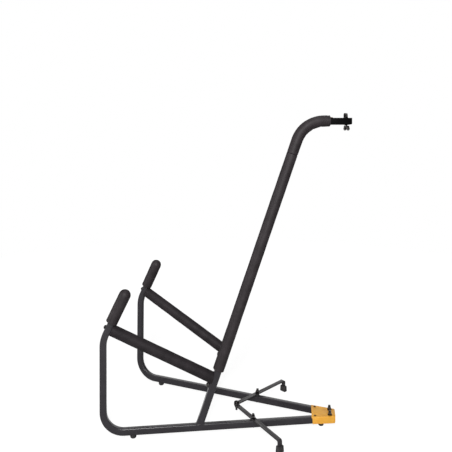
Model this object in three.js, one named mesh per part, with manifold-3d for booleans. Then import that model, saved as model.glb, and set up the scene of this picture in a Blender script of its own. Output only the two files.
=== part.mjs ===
// Folding stand for a cello or bass: two bent tube frames in a V, joined by two brackets at the back.
// Millimetres, +Z up, +X to the back, -Y the near side. The origin lies on the floor, at mid length.
import * as THREE from 'three';
import { mergeVertices } from 'three/addons/utils/BufferGeometryUtils.js';
import Module from 'manifold-3d';

const wasm = await Module();
wasm.setup();

// Tube stock
const tube_depth = 16;
const tube_width = 12;
const tube_wall = 1.5;
const tube_corner = 2;

// How the two frames stand
const spread_angle = 14.34;
const hinge_lean = 3.15;
const pivot_offset = 24.8;
const foot_height = 9.2;

// Frame tube: tail, rail, front upright and horn
const front_reach = 584.2;
const front_bend_radius = 57;
const horn_bend_radius = 80;
const horn_lean = 25.85;
const horn_length = 131;
const tail_length = 50;

// Rear upright and its top tail
const upright_foot_reach = 327;
const top_height = 837.8;
const top_corner_run = 81.2;
const top_bend_radius = 78;

// Seat rail
const seat_front_height = 280.9;
const seat_corner_rise = 29.9;
const seat_rear_height = 129.3;

// Foam sleeves
const foam_radius = 15.5;
const foam_round = 2.5;
const horn_foam_start = 51;
const upright_foam_start = 163.5;
const top_foam_seam_drop = 90.8;
const top_foam_end_gap = 6.5;
const foam_bracket_gap = 1.4;

// Clearances and overruns
const seat_gap = 0.3;
const running_gap = 0.3;
const overrun = 4;
const cut_room = 64;
const merge_distance = 0.001;

// Brackets
const sheet = 1.5;
const sheet_bend = 2.5;
const bracket_front = 9.5;
const bracket_rear = 56.7;
const bracket_front_half = 35.8;
const bracket_rear_half = 21.5;
const bracket_height = 18.8;
const bracket_corner = 2;
const flange_corner = 4;
const flange_setback = 2.5;
const slot_gap = 0.6;
const slot_in_angle = 6.4;
const slot_out_angle = 3;

// Rivets and lock bolts
const rivet_radius = 2.5;
const rivet_head_radius = 3.8;
const rivet_head_height = 1.8;
const lock_reach = 43;
const bolt_radius = 2.5;
const bolt_head_radius = 4.4;
const bolt_head_height = 3.3;
const thread_stub = 3;

// Wing nuts
const nut_hub_radius = 5.6;
const nut_hub_height = 7;
const nut_flange_radius = 6.3;
const nut_flange_thick = 1.2;
const nut_span = 23.2;
const nut_height = 12.6;
const nut_top_radius = 4.2;
const nut_wing_radius = 3.7;
const nut_wing_foot = 10.1;
const nut_wing_waist = 6.3;
const nut_wing_start = -17;
const nut_wing_end = 162;
const nut_wing_thick = 3.2;
const nut_bore_gap = 0.1;
const top_lower_nut_drop = 4;
const nut_turns = { near_base: 62, far_base: 112, near_top: 42, far_top: 70, near_bar: 110, far_bar: 68 };

// Feet
const front_foot_reach = 504.3;
const rear_foot_reach = 17;
const front_foot_radius = 9;
const rear_foot_radius = 8.3;
const foot_floor_share = 0.78;
const foot_edge_share = 0.9;
const foot_edge_height = 1.8;
const foot_shoulder_height = 6.2;
const foot_stem_radius = 3;
const foot_stem_height = 5;

// Outriggers
const bar_width = 13.5;
const bar_thick = 3;
const bar_bend_radius = 3;
const bar_bolt_reach = 175.3;
const bar_pivot_reach = 225.2;
const bar_leg_length = 208.7;
const near_spacer_height = 2.5;
const spacer_radius = 6.5;
const bar_gap = 0.3;
const bar_eye_radius = 7.5;
const rail_bolt_radius = 3;
const rail_bolt_head_radius = 5.2;
const rail_bolt_head_height = 1.5;
const pivot_bolt_radius = 3;
const pivot_hole_radius = 4.4;
const pivot_head_radius = 7.3;
const pivot_head_rim = 2;
const pivot_head_height = 6;
const pivot_nut_radius = 5.5;
const pivot_nut_height = 5;
const pivot_stub = 8;
const tip_height = 16;
const tip_floor = 3;
const tip_long = 20.5;
const tip_short = 12.5;
const tip_top_share = 0.92;
const tip_corner = 2.5;

// Seat rail screws
const screw_radius = 3;
const screw_head_radius = 5.5;
const screw_head_rim = 2.1;
const screw_head_height = 6;
const insert_length = 14;
const lug_thick = 3;
const lug_length = 26;
const lug_screw_drop = 20;
const rivet_nut_radius = 4.1;
const rivet_nut_length = 8;

// Plugs in the tube ends
const plug_length = 3.8;
const plug_cap = 2;

// Facet counts
const bend_steps = 8;
const foam_sides = 20;
const corner_steps = 2;
const bore_corner_steps = 1;
const arc_steps = 4;
const dome_steps = 4;
const round_sides = 16;
const small_sides = 12;
const hex_sides = 6;

// Colours and surfaces
const finishes = {
  black_paint: [0x16161a, 0.45, 0.3],
  gold_paint: [0xd2a04e, 0.5, 0.35],
  zinc: [0xb9bbbd, 0.32, 0.9],
  black_zinc: [0x1b1a1d, 0.35, 0.8],
  foam: [0x1c1c1e, 0.95, 0],
  rubber: [0x101012, 0.85, 0],
  plastic: [0x141416, 0.6, 0],
};

// Directions and places shared by both frames
const alpha = THREE.MathUtils.degToRad(spread_angle);
const tau = THREE.MathUtils.degToRad(hinge_lean);
const half_depth = tube_depth / 2;
const half_width = tube_width / 2;
const rail_height = foot_height + half_depth;
const rail_top = foot_height + tube_depth;

function frameBasis(side) {
  const along = new THREE.Vector3(-Math.cos(alpha), side * Math.sin(alpha), 0);
  const hinge = new THREE.Vector3(Math.sin(tau), 0, Math.cos(tau));
  const across = new THREE.Vector3().crossVectors(hinge, along).normalize();
  const up = new THREE.Vector3().crossVectors(along, across).normalize();
  const out = new THREE.Vector3().crossVectors(along, up);
  return { along, up, out, hinge };
}

function framePoint(side, reach, height) {
  const basis = frameBasis(side);
  return new THREE.Vector3(0, side * pivot_offset, rail_height)
    .addScaledVector(basis.along, reach)
    .addScaledVector(basis.up, height);
}

// Where the hinge line crosses the top tail, in the frame's own plane
const basis_near = frameBasis(-1);
const hinge_run_share = basis_near.hinge.dot(basis_near.along) / basis_near.hinge.dot(basis_near.up);
const top_pivot_reach = top_height * hinge_run_share;

// Directions of horn, rear upright and seat rail in the frame's own plane
const flat = (x, y) => new THREE.Vector2(x, y);
const horn_angle = THREE.MathUtils.degToRad(horn_lean);
const horn_way = flat(-Math.sin(horn_angle), Math.cos(horn_angle));
const horn_corner = flat(front_reach, seat_front_height - seat_corner_rise);
const upright_foot = flat(upright_foot_reach, 0);
const top_corner = flat(top_pivot_reach + top_corner_run, top_height);
const upright_way = top_corner.clone().sub(upright_foot).normalize();
const alongLine = (start, way, distance) => start.clone().addScaledVector(way, distance);
const seat_front = alongLine(horn_corner, horn_way, seat_corner_rise / horn_way.y);
const seat_rear = alongLine(upright_foot, upright_way, seat_rear_height / upright_way.y);
const seat_way = seat_front.clone().sub(seat_rear).normalize();
const horn_front = flat(horn_way.y, -horn_way.x);
const upright_front = flat(upright_way.y, -upright_way.x);
const horn_tip = alongLine(horn_corner, horn_way, horn_length);

// A planar path with one station at each end of a straight and several round each bend
class StationPath extends THREE.Curve {
  constructor(stations) {
    super();
    this.stations = stations;
  }

  station(share) {
    const last = this.stations.length - 1;
    return this.stations[Math.min(last, Math.round(share * last))];
  }

  getPoint(share, target = new THREE.Vector3()) {
    const { place } = this.station(share);
    return target.set(place.x, place.y, 0);
  }

  getPointAt(share, target) {
    return this.getPoint(share, target);
  }

  getTangent(share, target = new THREE.Vector3()) {
    const { way } = this.station(share);
    return target.set(way.x, way.y, 0);
  }

  getTangentAt(share, target) {
    return this.getTangent(share, target);
  }
}

// Stations along corner points, with a bend of its own radius at each inner corner
function bentStations(corners, radii) {
  const ways = corners.slice(1).map((corner, index) => corner.clone().sub(corners[index]).normalize());
  const stations = [{ place: corners[0].clone(), way: ways[0].clone() }];
  radii.forEach((radius, index) => {
    const before = ways[index];
    const after = ways[index + 1];
    const turn = Math.atan2(before.cross(after), before.dot(after));
    const reach = radius * Math.tan(Math.abs(turn) / 2);
    const start = corners[index + 1].clone().addScaledVector(before, -reach);
    const inward = flat(-before.y, before.x).multiplyScalar(Math.sign(turn));
    const centre = start.clone().addScaledVector(inward, radius);
    for (let step = 0; step <= bend_steps; step += 1) {
      const angle = (turn * step) / bend_steps;
      const place = start.clone().rotateAround(centre, angle);
      const way = before.clone().rotateAround(flat(0, 0), angle);
      stations.push({ place, way });
    }
  });
  stations.push({ place: corners.at(-1).clone(), way: ways.at(-1).clone() });
  return stations;
}

// Rounded rectangle outline, width along x and depth along y
function roundedOutline(width, depth, corner, steps = corner_steps, Kind = THREE.Shape) {
  const half_x = width / 2;
  const half_y = depth / 2;
  const outline = new Kind();
  const spots = [
    [half_x - corner, half_y - corner, 0],
    [corner - half_x, half_y - corner, 1],
    [corner - half_x, corner - half_y, 2],
    [half_x - corner, corner - half_y, 3],
  ];
  const points = [];
  for (const [x, y, quarter] of spots) {
    for (let step = 0; step <= steps; step += 1) {
      const angle = (Math.PI / 2) * (quarter + step / steps);
      points.push(flat(x + corner * Math.cos(angle), y + corner * Math.sin(angle)));
    }
  }
  outline.setFromPoints(points);
  return outline;
}

function circleOutline(radius, sides, Kind = THREE.Shape) {
  const points = [];
  for (let side = 0; side < sides; side += 1) {
    const angle = (2 * Math.PI * side) / sides;
    points.push(flat(radius * Math.cos(angle), radius * Math.sin(angle)));
  }
  const outline = new Kind();
  outline.setFromPoints(points);
  return outline;
}

function sweep(shape, stations) {
  return new THREE.ExtrudeGeometry(shape, {
    steps: stations.length - 1,
    curveSegments: corner_steps,
    extrudePath: new StationPath(stations),
  });
}

function tubeShape(grow = 0) {
  return roundedOutline(tube_width + 2 * grow, tube_depth + 2 * grow, tube_corner + grow);
}

function hollowTubeShape() {
  const shape = tubeShape();
  const inner_width = tube_width - 2 * tube_wall;
  const inner_depth = tube_depth - 2 * tube_wall;
  const corner = tube_corner - tube_wall;
  shape.holes.push(roundedOutline(inner_width, inner_depth, corner, bore_corner_steps, THREE.Path));
  return shape;
}

function foamShape() {
  const shape = circleOutline(foam_radius, foam_sides);
  const bore_width = tube_width + 2 * seat_gap;
  const bore_depth = tube_depth + 2 * seat_gap;
  const corner = tube_corner + seat_gap;
  shape.holes.push(roundedOutline(bore_width, bore_depth, corner, corner_steps, THREE.Path));
  return shape;
}

// Solids: meshes become manifolds for cuts and joins, and come back as geometry
function solid(geometry) {
  const bare = geometry.index ? geometry.toNonIndexed() : geometry.clone();
  for (const name of Object.keys(bare.attributes)) {
    if (name !== 'position') bare.deleteAttribute(name);
  }
  const merged = mergeVertices(bare, merge_distance);
  return new wasm.Manifold(new wasm.Mesh({
    numProp: 3,
    vertProperties: new Float32Array(merged.attributes.position.array),
    triVerts: new Uint32Array(merged.index.array),
  }));
}

function geometryOf(body) {
  const mesh = body.getMesh();
  const geometry = new THREE.BufferGeometry();
  geometry.setAttribute('position', new THREE.BufferAttribute(new Float32Array(mesh.vertProperties), 3));
  geometry.setIndex(new THREE.BufferAttribute(new Uint32Array(mesh.triVerts), 1));
  return geometry;
}

function cut(body, ...tools) {
  return tools.reduce((rest, tool) => rest.subtract(tool), body);
}

function join(body, ...others) {
  return others.reduce((whole, other) => whole.add(other), body);
}

// A box given by its middle, in the plane of a frame, turned so that its x runs along a way
function planeBox(middle, way, length, thick, wide) {
  const box = new THREE.BoxGeometry(length, thick, wide);
  box.rotateZ(Math.atan2(way.y, way.x));
  box.translate(middle.x, middle.y, 0);
  return solid(box);
}

// A round bar in the plane of a frame, from a start point along a way
function planeRod(start, way, length, radius, sides = small_sides) {
  const rod = new THREE.CylinderGeometry(radius, radius, length, sides);
  rod.translate(0, length / 2, 0);
  rod.rotateZ(Math.atan2(way.y, way.x) - Math.PI / 2);
  rod.translate(start.x, start.y, 0);
  return solid(rod);
}

// An upright round bar in the part's own axes
function post(x, y, low, high, radius, sides = small_sides) {
  const rod = new THREE.CylinderGeometry(radius, radius, high - low, sides);
  rod.rotateX(Math.PI / 2);
  rod.translate(x, y, (low + high) / 2);
  return solid(rod);
}

// Profile points of a dome, from its rim up to its crown
function domeProfile(radius, rim, height) {
  const points = [];
  for (let step = 0; step <= dome_steps; step += 1) {
    const angle = (Math.PI / 2) * (step / dome_steps);
    points.push([step < dome_steps ? radius * Math.cos(angle) : 0, rim + height * Math.sin(angle)]);
  }
  return points;
}

// A turned piece in the plane of a frame, its axis from a start point along a way
function planeTurned(profile, start, way, sides = small_sides) {
  const lathe = new THREE.LatheGeometry(profile.map(([radius, height]) => flat(radius, height)), sides);
  lathe.rotateZ(Math.atan2(way.y, way.x) - Math.PI / 2);
  lathe.translate(start.x, start.y, 0);
  return solid(lathe);
}

// A turned piece standing on its axis: profile points are radius and height
function turned(profile, sides = round_sides) {
  const lathe = new THREE.LatheGeometry(profile.map(([radius, height]) => flat(radius, height)), sides);
  lathe.rotateX(Math.PI / 2);
  return solid(lathe);
}

const stand = new THREE.Group();

function addPiece(parent, name, geometry, finish) {
  const [color, roughness, metalness] = finishes[finish];
  const material = new THREE.MeshStandardMaterial({ color, roughness, metalness, name });
  const mesh = new THREE.Mesh(geometry, material);
  mesh.name = name;
  parent.add(mesh);
  return mesh;
}

function frameGroup(side) {
  const basis = frameBasis(side);
  const group = new THREE.Group();
  const turn = new THREE.Matrix4().makeBasis(basis.along, basis.up, basis.out);
  group.quaternion.setFromRotationMatrix(turn);
  group.position.copy(framePoint(side, 0, 0));
  stand.add(group);
  return group;
}

// A world piece brought into a frame's own plane, so that frame holes line up with upright bolts
function inFrame(side, body) {
  const basis = frameBasis(side);
  const place = framePoint(side, 0, 0);
  const matrix = new THREE.Matrix4().makeBasis(basis.along, basis.up, basis.out).setPosition(place);
  const geometry = geometryOf(body).applyMatrix4(matrix.invert());
  return solid(geometry);
}

// Upright holes through a tube at a point of a frame
function uprightHole(side, reach, height, radius) {
  const place = framePoint(side, reach, height);
  const span = half_depth + overrun;
  return inFrame(side, post(place.x, place.y, place.z - span, place.z + span, radius));
}

// Frame tube
function makeFrameTube(side) {
  const tail_end = flat(-tail_length, 0);
  const front_corner = flat(front_reach, 0);
  const corners = [tail_end, front_corner, horn_corner, horn_tip];
  const stations = bentStations(corners, [front_bend_radius, horn_bend_radius]);
  const tube = solid(sweep(hollowTubeShape(), stations));
  const stem_hole = foot_stem_radius + running_gap;
  const foot_holes = [front_foot_reach, -rear_foot_reach].map((reach) => {
    const place = framePoint(side, reach, -half_depth);
    return inFrame(side, post(place.x, place.y, place.z - overrun, place.z + half_depth, stem_hole));
  });
  const screw_start = alongLine(seat_front, seat_way, tube_depth);
  const back = seat_way.clone().negate();
  return cut(
    tube,
    uprightHole(side, 0, 0, rivet_radius + running_gap),
    uprightHole(side, -lock_reach, 0, bolt_radius + running_gap),
    uprightHole(side, bar_bolt_reach, 0, rail_bolt_radius + running_gap),
    planeRod(screw_start, back, 2 * tube_depth, screw_radius + running_gap),
    ...foot_holes,
  );
}

// Rear upright, cut flat where it stands on the rail
const lug_screw_place = alongLine(seat_rear, upright_way, -lug_screw_drop);

function makeRearUpright(side) {
  const low_end = alongLine(upright_foot, upright_way, -tube_depth);
  const top_end = flat(top_pivot_reach - tail_length, top_height);
  const stations = bentStations([low_end, top_corner, top_end], [top_bend_radius]);
  const tube = solid(sweep(hollowTubeShape(), stations));
  const rail_face = half_depth + seat_gap;
  const below_middle = flat(upright_foot_reach, rail_face - cut_room / 2);
  const below = planeBox(below_middle, flat(1, 0), 2 * cut_room, cut_room, cut_room);
  const screw_hole = planeRod(lug_screw_place, upright_front, tube_depth, screw_radius + running_gap);
  return cut(
    tube,
    below,
    screw_hole,
    uprightHole(side, top_pivot_reach, top_height, rivet_radius + running_gap),
    uprightHole(side, top_pivot_reach - lock_reach, top_height, bolt_radius + running_gap),
  );
}

// Blocks along the faces of horn and rear upright, where the seat rail and its foam end
function seatEndCuts(rear_room = 0) {
  const horn_face = half_depth + seat_gap;
  const in_horn = alongLine(seat_front, horn_front, cut_room / 2 - horn_face);
  const in_upright = alongLine(seat_rear, upright_front, horn_face + rear_room - cut_room / 2);
  return [
    planeBox(in_horn, horn_way, 2 * cut_room, cut_room, cut_room),
    planeBox(in_upright, upright_way, 2 * cut_room, cut_room, cut_room),
  ];
}

function seatStations(extra = 0) {
  return bentStations([alongLine(seat_rear, seat_way, -extra), alongLine(seat_front, seat_way, extra)], []);
}

function makeSeatRail() {
  return cut(solid(sweep(hollowTubeShape(), seatStations())), ...seatEndCuts(lug_thick + seat_gap));
}

// Lug: a plug in the rear end of the seat rail with a tab down the face of the rear upright
function lugTab(grow = 0) {
  const face = half_depth + seat_gap - grow;
  const thick = lug_thick + 2 * grow;
  const tab = alongLine(seat_rear, upright_way, -lug_length / 2);
  const middle = alongLine(tab, upright_front, face + thick / 2);
  return planeBox(middle, upright_way, lug_length + 2 * grow, thick, tube_width + 2 * grow);
}

function plugShape() {
  const inner_width = tube_width - 2 * (tube_wall + seat_gap);
  const inner_depth = tube_depth - 2 * (tube_wall + seat_gap);
  return roundedOutline(inner_width, inner_depth, tube_corner / 2, bore_corner_steps);
}

function makeSeatLug() {
  const start = alongLine(seat_rear, seat_way, half_depth);
  const end = alongLine(start, seat_way, insert_length);
  const plug = cut(solid(sweep(plugShape(), bentStations([start, end], []))), seatEndCuts()[1]);
  const screw_hole = planeRod(lug_screw_place, upright_front, 2 * tube_depth, screw_radius + running_gap);
  return cut(join(lugTab(), plug), screw_hole);
}

// Threaded insert in the front end of the seat rail
function makeSeatInsert() {
  const start = alongLine(seat_front, seat_way, -insert_length - half_depth);
  const plug = solid(sweep(plugShape(), bentStations([start, seat_front], [])));
  const thread = planeRod(seat_front, seat_way.clone().negate(), 2 * tube_depth + insert_length,
    screw_radius + nut_bore_gap);
  return cut(plug, seatEndCuts()[0], thread);
}

// Screw: domed head and shank, pointing along a way from under its head
function makeScrew(seat, way, shank) {
  const profile = [
    [0, -shank],
    [screw_radius, -shank],
    [screw_radius, 0],
    [screw_head_radius, 0],
    ...domeProfile(screw_head_radius, screw_head_rim, screw_head_height - screw_head_rim),
  ];
  return planeTurned(profile, seat, way.clone().negate());
}

function makeFrontScrew() {
  const slant_share = 1 / horn_front.dot(seat_way);
  const seat = alongLine(seat_front, seat_way, (half_depth + running_gap) * slant_share);
  return makeScrew(seat, seat_way.clone().negate(), tube_depth + insert_length);
}

function makeRearScrew() {
  const lug_face = half_depth + seat_gap + lug_thick + running_gap;
  const seat = alongLine(lug_screw_place, upright_front, lug_face);
  return makeScrew(seat, upright_front.clone().negate(), lug_thick + tube_wall + rivet_nut_length);
}

// Rivet nut inside the rear upright, behind the hole for the lug's screw
function makeRivetNut() {
  const start = alongLine(lug_screw_place, upright_front, half_depth - tube_wall - seat_gap);
  const back = upright_front.clone().negate();
  const ring = planeRod(start, back, rivet_nut_length, rivet_nut_radius);
  const bore_start = alongLine(start, upright_front, overrun);
  return cut(ring, planeRod(bore_start, back, rivet_nut_length + 2 * overrun, screw_radius + nut_bore_gap));
}

// Plug in the open end of a tail: a stem inside the tube and a cap over its end
function makeTailPlug(end) {
  const way = flat(-1, 0);
  const start = alongLine(end, way, -plug_length);
  const stem = solid(sweep(plugShape(), bentStations([start, alongLine(end, way, seat_gap)], [])));
  const cap_start = alongLine(end, way, seat_gap);
  const cap = solid(sweep(tubeShape(), bentStations([cap_start, alongLine(cap_start, way, plug_cap)], [])));
  return join(stem, cap);
}

// Foam sleeves
function makeSeatFoam() {
  const sleeve = solid(sweep(foamShape(), seatStations(foam_radius)));
  return cut(sleeve, ...seatEndCuts(), lugTab(seat_gap));
}

function makeHornFoam() {
  const length = horn_length - horn_foam_start;
  const profile = [
    [0, 0],
    [foam_radius - foam_round, 0],
    [foam_radius, foam_round],
    ...domeProfile(foam_radius, length, foam_radius),
  ];
  const start = alongLine(horn_corner, horn_way, horn_foam_start);
  const sleeve = planeTurned(profile, start, horn_way, foam_sides);
  const bore_start = alongLine(start, horn_way, -overrun);
  const bore_end = alongLine(horn_tip, horn_way, seat_gap);
  return cut(sleeve, solid(sweep(tubeShape(seat_gap), bentStations([bore_start, bore_end], []))));
}

const upright_foam_low = alongLine(upright_foot, upright_way, upright_foam_start);
const upright_foam_seam = alongLine(top_corner, upright_way, -top_foam_seam_drop / upright_way.y);

function makeLowerFoam() {
  return solid(sweep(foamShape(), bentStations([upright_foam_low, upright_foam_seam], [])));
}

// The upper sleeve ends over the front edge of the top bracket, which presses into it
function makeUpperFoam(side) {
  const seam = alongLine(upright_foam_seam, upright_way, seat_gap);
  const foam_end = flat(top_pivot_reach + top_foam_end_gap, top_height);
  const sleeve = solid(sweep(foamShape(), bentStations([seam, top_corner, foam_end], [top_bend_radius])));
  const length = 2 * bracket_rear;
  const wide = 2 * (bracket_front_half + foam_bracket_gap);
  const high = bracket_height + 2 * seat_gap;
  const box = new THREE.BoxGeometry(length, wide, high);
  const pivot = framePoint(side, top_pivot_reach, top_height);
  const plate_top = pivot.z + half_depth + seat_gap + sheet;
  box.translate(pivot.x - bracket_front - foam_bracket_gap + length / 2, 0, plate_top - bracket_height / 2);
  return cut(sleeve, inFrame(side, solid(box)));
}

// Brackets: a channel of sheet, open below, narrower at the back
function bracketSection() {
  const half = bracket_front_half;
  const points = [];
  const arc = (centre_y, radius, from, to) => {
    for (let step = 0; step <= corner_steps; step += 1) {
      const angle = from + ((to - from) * step) / corner_steps;
      points.push(flat(centre_y + radius * Math.cos(angle), radius * Math.sin(angle) - sheet_bend));
    }
  };
  const bend_y = half - sheet_bend;
  points.push(flat(half, -bracket_height));
  arc(bend_y, sheet_bend, 0, Math.PI / 2);
  arc(-bend_y, sheet_bend, Math.PI / 2, Math.PI);
  points.push(flat(-half, -bracket_height));
  points.push(flat(sheet - half, -bracket_height));
  arc(-bend_y, sheet_bend - sheet, Math.PI, Math.PI / 2);
  arc(bend_y, sheet_bend - sheet, Math.PI / 2, 0);
  points.push(flat(half - sheet, -bracket_height));
  return new THREE.Shape(points);
}

function bracketHalfAt(x) {
  const share = (x + bracket_front) / (bracket_front + bracket_rear);
  return bracket_front_half + (bracket_rear_half - bracket_front_half) * share;
}

function makeBracket() {
  const length = bracket_front + bracket_rear;
  const channel = new THREE.ExtrudeGeometry(bracketSection(), { depth: length, bevelEnabled: false });
  const spots = channel.attributes.position;
  for (let index = 0; index < spots.count; index += 1) {
    const y = spots.getX(index);
    const z = spots.getY(index);
    const x = spots.getZ(index) - bracket_front;
    const narrower = bracket_front_half - bracketHalfAt(x);
    spots.setXYZ(index, x, y - Math.sign(y) * narrower, z);
  }
  const body = solid(channel);
  const plan = new THREE.Shape();
  const wide = bracket_front_half + overrun;
  const rear_y = bracket_rear_half - bracket_corner;
  plan.moveTo(-bracket_front, -wide);
  plan.lineTo(bracket_rear - bracket_corner, -wide);
  plan.lineTo(bracket_rear - bracket_corner, -bracketHalfAt(bracket_rear - bracket_corner));
  plan.absarc(bracket_rear - bracket_corner, -rear_y, bracket_corner, -Math.PI / 2, 0, false);
  plan.absarc(bracket_rear - bracket_corner, rear_y, bracket_corner, 0, Math.PI / 2, false);
  plan.lineTo(bracket_rear - bracket_corner, wide);
  plan.lineTo(-bracket_front, wide);
  const keep = new THREE.ExtrudeGeometry(plan, {
    depth: 2 * bracket_height,
    bevelEnabled: false,
    curveSegments: arc_steps,
  });
  keep.translate(0, 0, -bracket_height - overrun);
  return cut(body.intersect(solid(keep)).intersect(bracketSideView()), ...bracketHoles());
}

// Side view of a bracket: flanges set back in front, their lower corners round at the back
function bracketSideView() {
  const flange_front = flange_setback - bracket_front;
  const round_start = bracket_rear - flange_corner;
  const view = new THREE.Shape();
  view.moveTo(-bracket_front, overrun);
  view.lineTo(-bracket_front, -sheet_bend);
  view.lineTo(flange_front, -sheet_bend);
  view.lineTo(flange_front, -bracket_height);
  view.lineTo(round_start, -bracket_height);
  view.absarc(round_start, flange_corner - bracket_height, flange_corner, -Math.PI / 2, 0, false);
  view.lineTo(bracket_rear, overrun);
  const block = new THREE.ExtrudeGeometry(view, {
    depth: 2 * cut_room,
    bevelEnabled: false,
    curveSegments: arc_steps,
  });
  block.translate(0, 0, -cut_room);
  block.rotateX(Math.PI / 2);
  return solid(block);
}

function bracketHoles() {
  return [-1, 1].flatMap((side) => {
    const y = side * pivot_offset;
    const rivet_hole = post(0, y, -bracket_height, overrun, rivet_radius + seat_gap / 2);
    const slot_radius = bolt_radius + slot_gap;
    const outer = lock_reach + slot_radius;
    const inner = lock_reach - slot_radius;
    const from = THREE.MathUtils.degToRad(spread_angle - slot_out_angle);
    const to = THREE.MathUtils.degToRad(spread_angle + slot_in_angle);
    const points = [];
    const arc = (radius, start, end, centre) => {
      for (let step = 0; step <= arc_steps; step += 1) {
        const angle = start + ((end - start) * step) / arc_steps;
        points.push(flat(centre.x + radius * Math.cos(angle), -side * (centre.y + radius * Math.sin(angle))));
      }
    };
    const inner_end = flat(lock_reach * Math.cos(to), lock_reach * Math.sin(to));
    const outer_end = flat(lock_reach * Math.cos(from), lock_reach * Math.sin(from));
    arc(outer, from, to, flat(0, 0));
    arc(slot_radius, to, to + Math.PI, inner_end);
    arc(inner, to, from, flat(0, 0));
    arc(slot_radius, from + Math.PI, from + 2 * Math.PI, outer_end);
    const slot = new THREE.ExtrudeGeometry(new THREE.Shape(points), {
      depth: bracket_height,
      bevelEnabled: false,
    });
    slot.translate(0, y, -sheet - overrun);
    return [rivet_hole, solid(slot)];
  });
}

// Heights and places of the two brackets
const top_pivot = framePoint(-1, top_pivot_reach, top_height);
const base_plate_top = rail_top + seat_gap + sheet;
const top_plate_top = top_pivot.z + half_depth + seat_gap + sheet;

// Rivet: shank through plate and tube, domed head above, flat head below
function makeRivet() {
  const low = -sheet - seat_gap - tube_depth - running_gap;
  const profile = [
    [0, low - rivet_head_height / 2],
    [rivet_head_radius, low - rivet_head_height / 2],
    [rivet_head_radius, low],
    [rivet_radius, low],
    [rivet_radius, seat_gap],
    ...domeProfile(rivet_head_radius, seat_gap, rivet_head_height),
  ];
  return turned(profile, small_sides);
}

// Lock bolt: hexagon head on the far side of the stack and a shank through to its wing nut
function makeLockBolt(spare) {
  const stack = sheet + seat_gap + tube_depth;
  const shank_top = seat_gap + nut_hub_height + thread_stub + spare;
  const low = -stack - running_gap;
  const shank = post(0, 0, low - bolt_head_height / 2, shank_top, bolt_radius);
  const head = post(0, 0, low - bolt_head_height, low, bolt_head_radius, hex_sides);
  return join(shank, head);
}

// Wing nut: flanged, tapered hub and two raised wings with round tops
function makeWingNut(bolt_size, flange_radius = nut_flange_radius) {
  const low = seat_gap;
  const hub = turned([
    [0, low],
    [flange_radius, low],
    [flange_radius, low + nut_flange_thick],
    [nut_hub_radius, low + nut_flange_thick],
    [nut_top_radius, low + nut_hub_height],
    [0, low + nut_hub_height],
  ]);
  const half_span = nut_span / 2;
  const lobe = flat(half_span - nut_wing_radius, nut_height - nut_wing_radius);
  const lobe_start = THREE.MathUtils.degToRad(nut_wing_start);
  const lobe_end = THREE.MathUtils.degToRad(nut_wing_end);
  const shoulder = nut_hub_height - nut_flange_thick / 2;
  const wing = new THREE.Shape();
  wing.moveTo(0, 0);
  wing.lineTo(nut_hub_radius, 0);
  wing.lineTo(nut_wing_foot, nut_wing_waist);
  wing.absarc(lobe.x, lobe.y, nut_wing_radius, lobe_start, lobe_end, false);
  wing.lineTo(nut_top_radius, shoulder);
  wing.lineTo(0, shoulder);
  const blade = new THREE.ExtrudeGeometry(wing, {
    depth: nut_wing_thick,
    bevelEnabled: false,
    curveSegments: 2 * arc_steps,
  });
  blade.translate(0, 0, -nut_wing_thick / 2);
  blade.rotateX(Math.PI / 2);
  blade.translate(0, 0, low);
  const other = blade.clone().rotateZ(Math.PI);
  const bore = post(0, 0, -overrun, nut_height + overrun, bolt_size + nut_bore_gap);
  return cut(join(hub, solid(blade), solid(other)), bore);
}

// Feet: rubber buttons with a stem in the rail
function makeFoot(radius) {
  const top = foot_height - seat_gap;
  return turned([
    [0, 0],
    [radius * foot_floor_share, 0],
    [radius * foot_edge_share, foot_edge_height],
    [radius, foot_shoulder_height],
    [half_width, top],
    [foot_stem_radius, top],
    [foot_stem_radius, top + foot_stem_height],
    [0, top + foot_stem_height],
  ]);
}

// Outrigger bars
const bolt_spot = framePoint(1, bar_bolt_reach, 0);
const pivot_spot = flat(-bar_pivot_reach, 0);
const bar_reach = Math.hypot(bolt_spot.x - pivot_spot.x, bolt_spot.y);
const bar_turn = Math.atan2(bolt_spot.y, bolt_spot.x - pivot_spot.x);
const near_bar_low = rail_top + seat_gap + near_spacer_height + seat_gap;
const far_bar_low = near_bar_low + bar_thick + bar_gap;

// The bar in its own axes: x from the pivot to the leg, z up from the bar's underside
function makeBar(bar_low, pivot_hole) {
  const outer = bar_bend_radius + bar_thick;
  const leg_outer = bar_leg_length + bar_thick / 2;
  const leg_low = tip_floor + seat_gap - bar_low;
  const side_view = new THREE.Shape();
  side_view.moveTo(-bar_eye_radius, 0);
  side_view.lineTo(leg_outer - outer, 0);
  side_view.absarc(leg_outer - outer, -bar_bend_radius, bar_bend_radius, Math.PI / 2, 0, true);
  side_view.lineTo(leg_outer - bar_thick, leg_low);
  side_view.lineTo(leg_outer, leg_low);
  side_view.lineTo(leg_outer, -bar_bend_radius);
  side_view.absarc(leg_outer - outer, -bar_bend_radius, outer, 0, Math.PI / 2, false);
  side_view.lineTo(-bar_eye_radius, bar_thick);
  const strip = new THREE.ExtrudeGeometry(side_view, {
    depth: 2 * bar_eye_radius,
    bevelEnabled: false,
    curveSegments: arc_steps,
  });
  strip.translate(0, 0, -bar_eye_radius);
  strip.rotateX(Math.PI / 2);
  const eye = post(0, 0, -cut_room, cut_room, bar_eye_radius, round_sides);
  const run = new THREE.BoxGeometry(leg_outer + overrun, bar_width, 2 * cut_room);
  run.translate((leg_outer + overrun) / 2, 0, 0);
  const plan = join(eye, solid(run));
  return cut(
    solid(strip).intersect(plan),
    post(0, 0, -overrun, overrun + bar_thick, pivot_hole, round_sides),
    post(bar_reach, 0, -overrun, overrun + bar_thick, rail_bolt_radius + running_gap),
  );
}

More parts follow.
